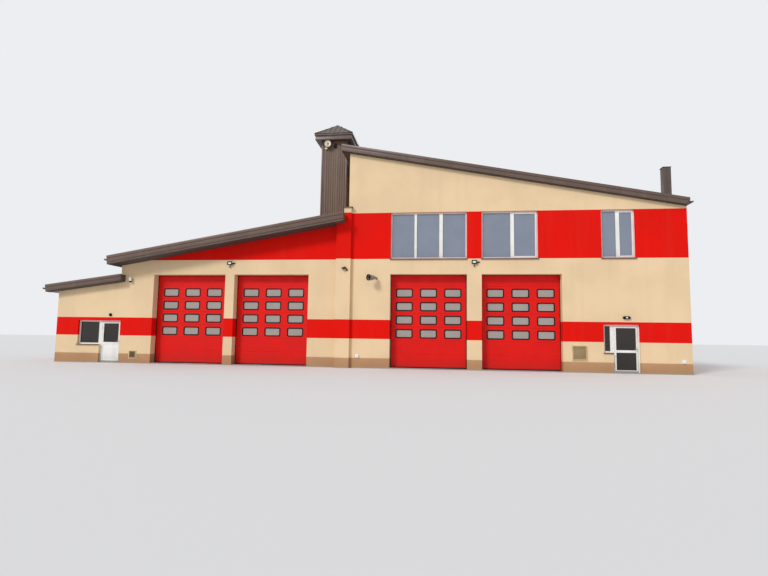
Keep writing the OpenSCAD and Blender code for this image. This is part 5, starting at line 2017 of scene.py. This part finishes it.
@dataclass
class Grilles(Assembly):
    """Flanges and screws of the wall grille and of the vent, and dark sheets behind their slats that paint the shade
    of the openings.

    Each grille is given by its outline on the wall, the Y of its face, its rim and its flange.
    """

    grilles: tuple[tuple[Opening, float, float, float], ...] = (
        (Opening((9.60, 10.20), (0.515, 1.135), FRONT_Y), -5.55, 0.01875, 0.052),
        (Opening((-10.57, -10.22), (0.24, 0.59), LOW_FRONT_Y), -5.43375, 0.0175, 0.034),
    )
    shade_back_y: Span = (-0.012, -0.004)
    flange_t: float = 0.010
    flange_lap: float = 0.004
    screw_r: Span = (0.008, 0.005)
    screw_out: float = 0.005

    def build(self) -> None:
        """Builds the flanges, the screws and the dark sheets of painted shade."""
        screws, shade_backs, flanges = [], [], []
        for outline, y, rim, flange in self.grilles:
            # Painted shade: a dark rubber sheet behind the slats stands for the shade inside the opening.
            shade_backs.append(Bench.block(*outline.box(-2 * rim, *self.shade_back_y), FINE))
            flanges.append(Bench.ring(outline.box(flange, -self.flange_t, 0.0), flange + self.flange_lap, SOFT))
            (left, _, low), (right, _, high) = outline.box(-rim, 0.0, 0.0)
            for x in (left, right):
                for z in (low, high):
                    ends = (x, y + TOUCH, z), (x, y - self.screw_out, z)
                    screws.append(Bench.rod(*ends, self.screw_r, FINE, 12))
        self.fit("grille_screws", screws, Look.STEEL, Slot.GRILLE)
        self.fit("grille_shade_backs", shade_backs, Look.RUBBER, Slot.GRILLE)
        self.fit("grille_flanges", flanges, Look.FLANGE, Slot.GRILLE)


@dataclass
class Studio:
    """Pale floor, soft light and the camera at the photograph's angle."""

    camera_place: Point = (4.358, -28.625, 1.35)
    yaw: float = 6.997
    pitch: float = 5.45
    roll: float = -0.798
    lens: float = 24.512
    sensor: float = 36.0
    reach: float = 2000.0
    floor_size: float = 600.0
    floor: Colour = linear(226, 227, 229)
    floor_roughness: float = 0.9
    pale: Colour = linear(236, 238, 241)
    ambient: float = 0.62
    sun: float = 1.65
    sun_angle: float = 14
    sun_turn: Point = (56, 0, -34)

    def _floor(self) -> None:
        """Lays the floor."""
        bpy.ops.mesh.primitive_plane_add(size=self.floor_size, location=(0.0, 0.0, 0.0))
        floor = bpy.context.active_object
        floor.name = "studio_floor"
        material = bpy.data.materials.new("studio_floor")
        material.use_nodes = True
        shader = material.node_tree.nodes["Principled BSDF"]
        shader.inputs["Base Color"].default_value = (*self.floor, 1.0)
        shader.inputs["Roughness"].default_value = self.floor_roughness
        floor.data.materials.append(material)

    def _world(self) -> None:
        """Lights the scene evenly and shows a pale background to the camera and to gloss."""
        world = bpy.data.worlds.new("studio")
        bpy.context.scene.world = world
        world.use_nodes = True
        desk = NodeDesk(world.node_tree)
        rays = desk.add("ShaderNodeLightPath").outputs
        seen = desk.math("MAXIMUM", rays["Is Camera Ray"], rays["Is Glossy Ray"])
        seen = desk.math("MAXIMUM", seen, rays["Is Transmission Ray"])
        back = world.node_tree.nodes["Background"].inputs
        desk.feed(back["Color"], desk.blend(seen, (1.0, 1.0, 1.0), self.pale))
        desk.feed(back["Strength"], desk.ramp(seen, (0.0, 1.0), (self.ambient, 1.0)))

    def _sun(self) -> None:
        """Adds one soft lamp from the front left."""
        lamp = bpy.data.lights.new("studio_key", "SUN")
        lamp.energy = self.sun
        lamp.angle = math.radians(self.sun_angle)
        key = bpy.data.objects.new("studio_key", lamp)
        key.rotation_euler = [math.radians(angle) for angle in self.sun_turn]
        bpy.context.scene.collection.objects.link(key)

    def _camera(self) -> None:
        """Sets the camera."""
        lens = bpy.data.cameras.new("camera")
        lens.lens = self.lens
        lens.sensor_width = self.sensor
        lens.clip_end = self.reach
        camera = bpy.data.objects.new("camera", lens)
        place = Matrix.Translation(self.camera_place)
        for angle, axis in ((self.yaw, "Z"), (90 + self.pitch, "X"), (-self.roll, "Z")):
            place = place @ Matrix.Rotation(math.radians(angle), 4, axis)
        camera.matrix_world = place
        bpy.context.scene.collection.objects.link(camera)
        bpy.context.scene.camera = camera

    def build(self) -> None:
        """Sets the whole studio."""
        bpy.context.scene.view_settings.view_transform = "Standard"
        self._floor()
        self._world()
        self._sun()
        self._camera()


@dataclass
class Palette:
    """Every finish of the station."""

    shop: Workshop

    def _plain(self) -> list[RenderFinish | SheetFinish | SolidFinish | GlassFinish]:
        """Lists the finishes of the walls and doors, the sheets and the glazing.

        Returns:
            The finishes.
        """
        return [
            RenderFinish(),
            SolidFinish(
                Look.ENAMEL, linear(226, 14, 6), 0.38, spread=0.12, specular=0.24, grain=0.003, patch=0.7,
                runs=0.04, splash=0.16, stain=linear(120, 52, 38), worn=linear(206, 13, 6), worn_share=0.5,
            ),
            SheetFinish(Look.ROOF, linear(80, 67, 62), linear(92, 76, 68)),
            SheetFinish(Look.VERGE, linear(92, 74, 65), linear(108, 86, 74), roughness=0.38, runs=0.12),
            SheetFinish(
                Look.CLADDING, linear(98, 78, 68), linear(118, 90, 72),
                pitch=0.115, direction=(1.0, 0.0, 0.0), runs=0.25,
            ),
            SheetFinish(Look.RAIN, linear(78, 65, 60), linear(88, 74, 68), roughness=0.34),
            SheetFinish(Look.SOFFIT, linear(64, 56, 54), linear(74, 64, 60), roughness=0.6, runs=0.0),
            # Painted reflection: the pale bluish colour of the window glass stands for the sky reflected in it.
            GlassFinish(Look.WINDOW_GLASS, linear(150, 161, 180), 0.35),
            # Painted shade: the dark colour of the door glass stands for the unlit rooms behind it.
            GlassFinish(Look.DOOR_GLASS, linear(72, 60, 54), 0.75),
            # The pale grey of the garage door panes is partly the acrylic's own grey and partly a painted reflection
            # of the sky.
            GlassFinish(Look.PANE_GLASS, linear(182, 175, 168), 0.30, roughness=0.10),
        ]

    def _solid(self) -> list[SolidFinish]:
        """Lists the plastics, the rubber, the steel and the paints of the fittings.

        Returns:
            The finishes.
        """
        fittings = (
            (Look.WHITE, linear(240, 240, 236), 0.32, 0.06),
            (Look.CREAM, linear(234, 226, 204), 0.4, 0.12),
            (Look.GREY, linear(150, 142, 130), 0.5, 0.12),
            (Look.BROWN, linear(66, 50, 36), 0.5, 0.05),
            (Look.OPAL, linear(240, 240, 236), 0.25, 0.03),
            (Look.GRILLE, linear(206, 178, 130), 0.5, 0.12),
            (Look.FLANGE, linear(232, 214, 172), 0.5, 0.12),
        )
        return [
            *(SolidFinish(look, colour, rough, runs=dirt, splash=dirt) for look, colour, rough, dirt in fittings),
            SolidFinish(Look.BLACK, linear(17, 15, 15), 0.5, runs=0.02, splash=0.02, specular=0.15),
            SolidFinish(Look.RUBBER, linear(20, 19, 19), 0.75, runs=0.03, splash=0.03, specular=0.15),
            SolidFinish(Look.STEEL, linear(176, 176, 174), 0.34, metallic=0.9, runs=0.1, splash=0.1),
            SolidFinish(Look.CONCRETE, linear(176, 173, 166), 0.85, grain=0.012, depth=0.002, runs=0.3, splash=0.3),
        ]

    def build(self) -> dict[Look, Material]:
        """Makes the material of every finish."""
        return {finish.look: finish.build(self.shop) for finish in (*self._plain(), *self._solid())}


def paint_nodes(fitter: Fitter) -> None:
    """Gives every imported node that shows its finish.

    Args:
        fitter: The fitter.
    """
    walls = [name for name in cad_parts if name.endswith(("_wall", "_walls", "_piers", "_pier", "_head"))]
    fitter.paint(Look.RENDER, *(name for name in walls if not name.startswith("tower")), "pilaster")
    fitter.paint(Look.CONCRETE, "ground_slab", "upper_floor")
    fitter.paint(Look.ROOF, "tall_roof", "low_roof", "tower_roof", "flue", "fire_wall_coping")
    fitter.paint(Look.VERGE, "window_sills")
    fitter.paint(Look.RAIN, "gutters", "downpipes")
    fitter.paint(Look.CLADDING, "tower_walls")
    fitter.paint(Look.ENAMEL, *(f"garage_door_{number}" for number in (1, 2, 3, 4)))
    fitter.paint(Look.WHITE, "entrance_frame", "annex_frame")
    fitter.paint(Look.GRILLE, "wall_grilles")


def garage_doors(fitter: Fitter) -> None:
    """Builds the four garage doors, and all their panes as one piece.

    Args:
        fitter: The fitter with the finishes.
    """
    doors = [
        GarageDoor(fitter, 1, -9.525, 3.55, LOW_FRONT_Y),
        GarageDoor(fitter, 2, -5.535, 3.55, LOW_FRONT_Y),
        GarageDoor(fitter, 3, 1.79, 3.40, FRONT_Y),
        GarageDoor(fitter, 4, 5.83, 3.40, FRONT_Y),
    ]
    for door in doors:
        door.build()
    panes = [door.panes() for door in doors]
    Assembly(fitter).fit("garage_door_panes", panes, Look.PANE_GLASS, Slot.GLASS, node="garage_door_glass")


def roofs(fitter: Fitter) -> list[MonoPitchRoof]:
    """Gives the three mono-pitch roofs.

    Args:
        fitter: The fitter with the finishes.

    Returns:
        The roofs of the tall block, the low block and the annex.
    """
    tall = MonoPitchRoof(
        fitter, "tall", TALL_X1, 7.1, -0.187, 0.30, -0.50, 14.45, -5.70, 5.70,
        soffits=((-5.69, -5.51), (5.51, 5.69)),
        soffit_x1=14.35,
        cover_foot=0.012,
        verges=((-0.50, -5.70, -1), (-0.50, 5.70, 1)),
    )
    low = MonoPitchRoof(
        fitter, "low", LOW_X0, 4.64, 0.173, 0.38, -11.45, -0.36, -6.19, 6.30,
        soffits=((-6.17, -5.40), (5.51, 6.28)),
        soffit_x1=-0.68,
        cover_foot=0.092,
        verges=((-0.26, -6.19, -1), (-0.33, 6.30, 1)),
    )
    annex = MonoPitchRoof(
        fitter, "annex", ANNEX_X0, 3.4, 0.135, 0.32, -14.85, -11.21, -5.74, 5.85,
        soffits=((-5.72, -5.40), (5.51, 5.83)),
        soffit_x1=-11.0,
        cover_foot=0.032,
        verges=((-10.98, -5.74, -1), (LOW_X0, 5.85, 1)),
        decks=((-14.85, LOW_X0, -5.74, 5.85), (LOW_X0 - LAP, -10.98, -5.74, LOW_FRONT_Y)),
    )
    return [tall, low, annex]


def main() -> None:
    """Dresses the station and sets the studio."""
    logging.basicConfig(level=logging.INFO, format="%(name)s: %(message)s")
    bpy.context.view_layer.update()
    fitter = Fitter(Palette(Workshop.open()).build())
    paint_nodes(fitter)
    garage_doors(fitter)
    for assembly in (
        FixedWindows(fitter),
        DoorLeaf(fitter, "entrance", 11.35, 12.29, -5.38, 1.974, panelled=False),
        DoorLeaf(fitter, "annex", -12.08, -11.18, -5.27, 1.934, panelled=True),
        WallLamps(fitter),
        AlarmGear(fitter),
        *roofs(fitter),
        Tower(fitter),
        SheetTrim(fitter),
        Grilles(fitter),
        Studio(),
    ):
        assembly.build()

    log.info("%d new pieces fitted", fitter.fitted)


if __name__ == "__main__":
    main()
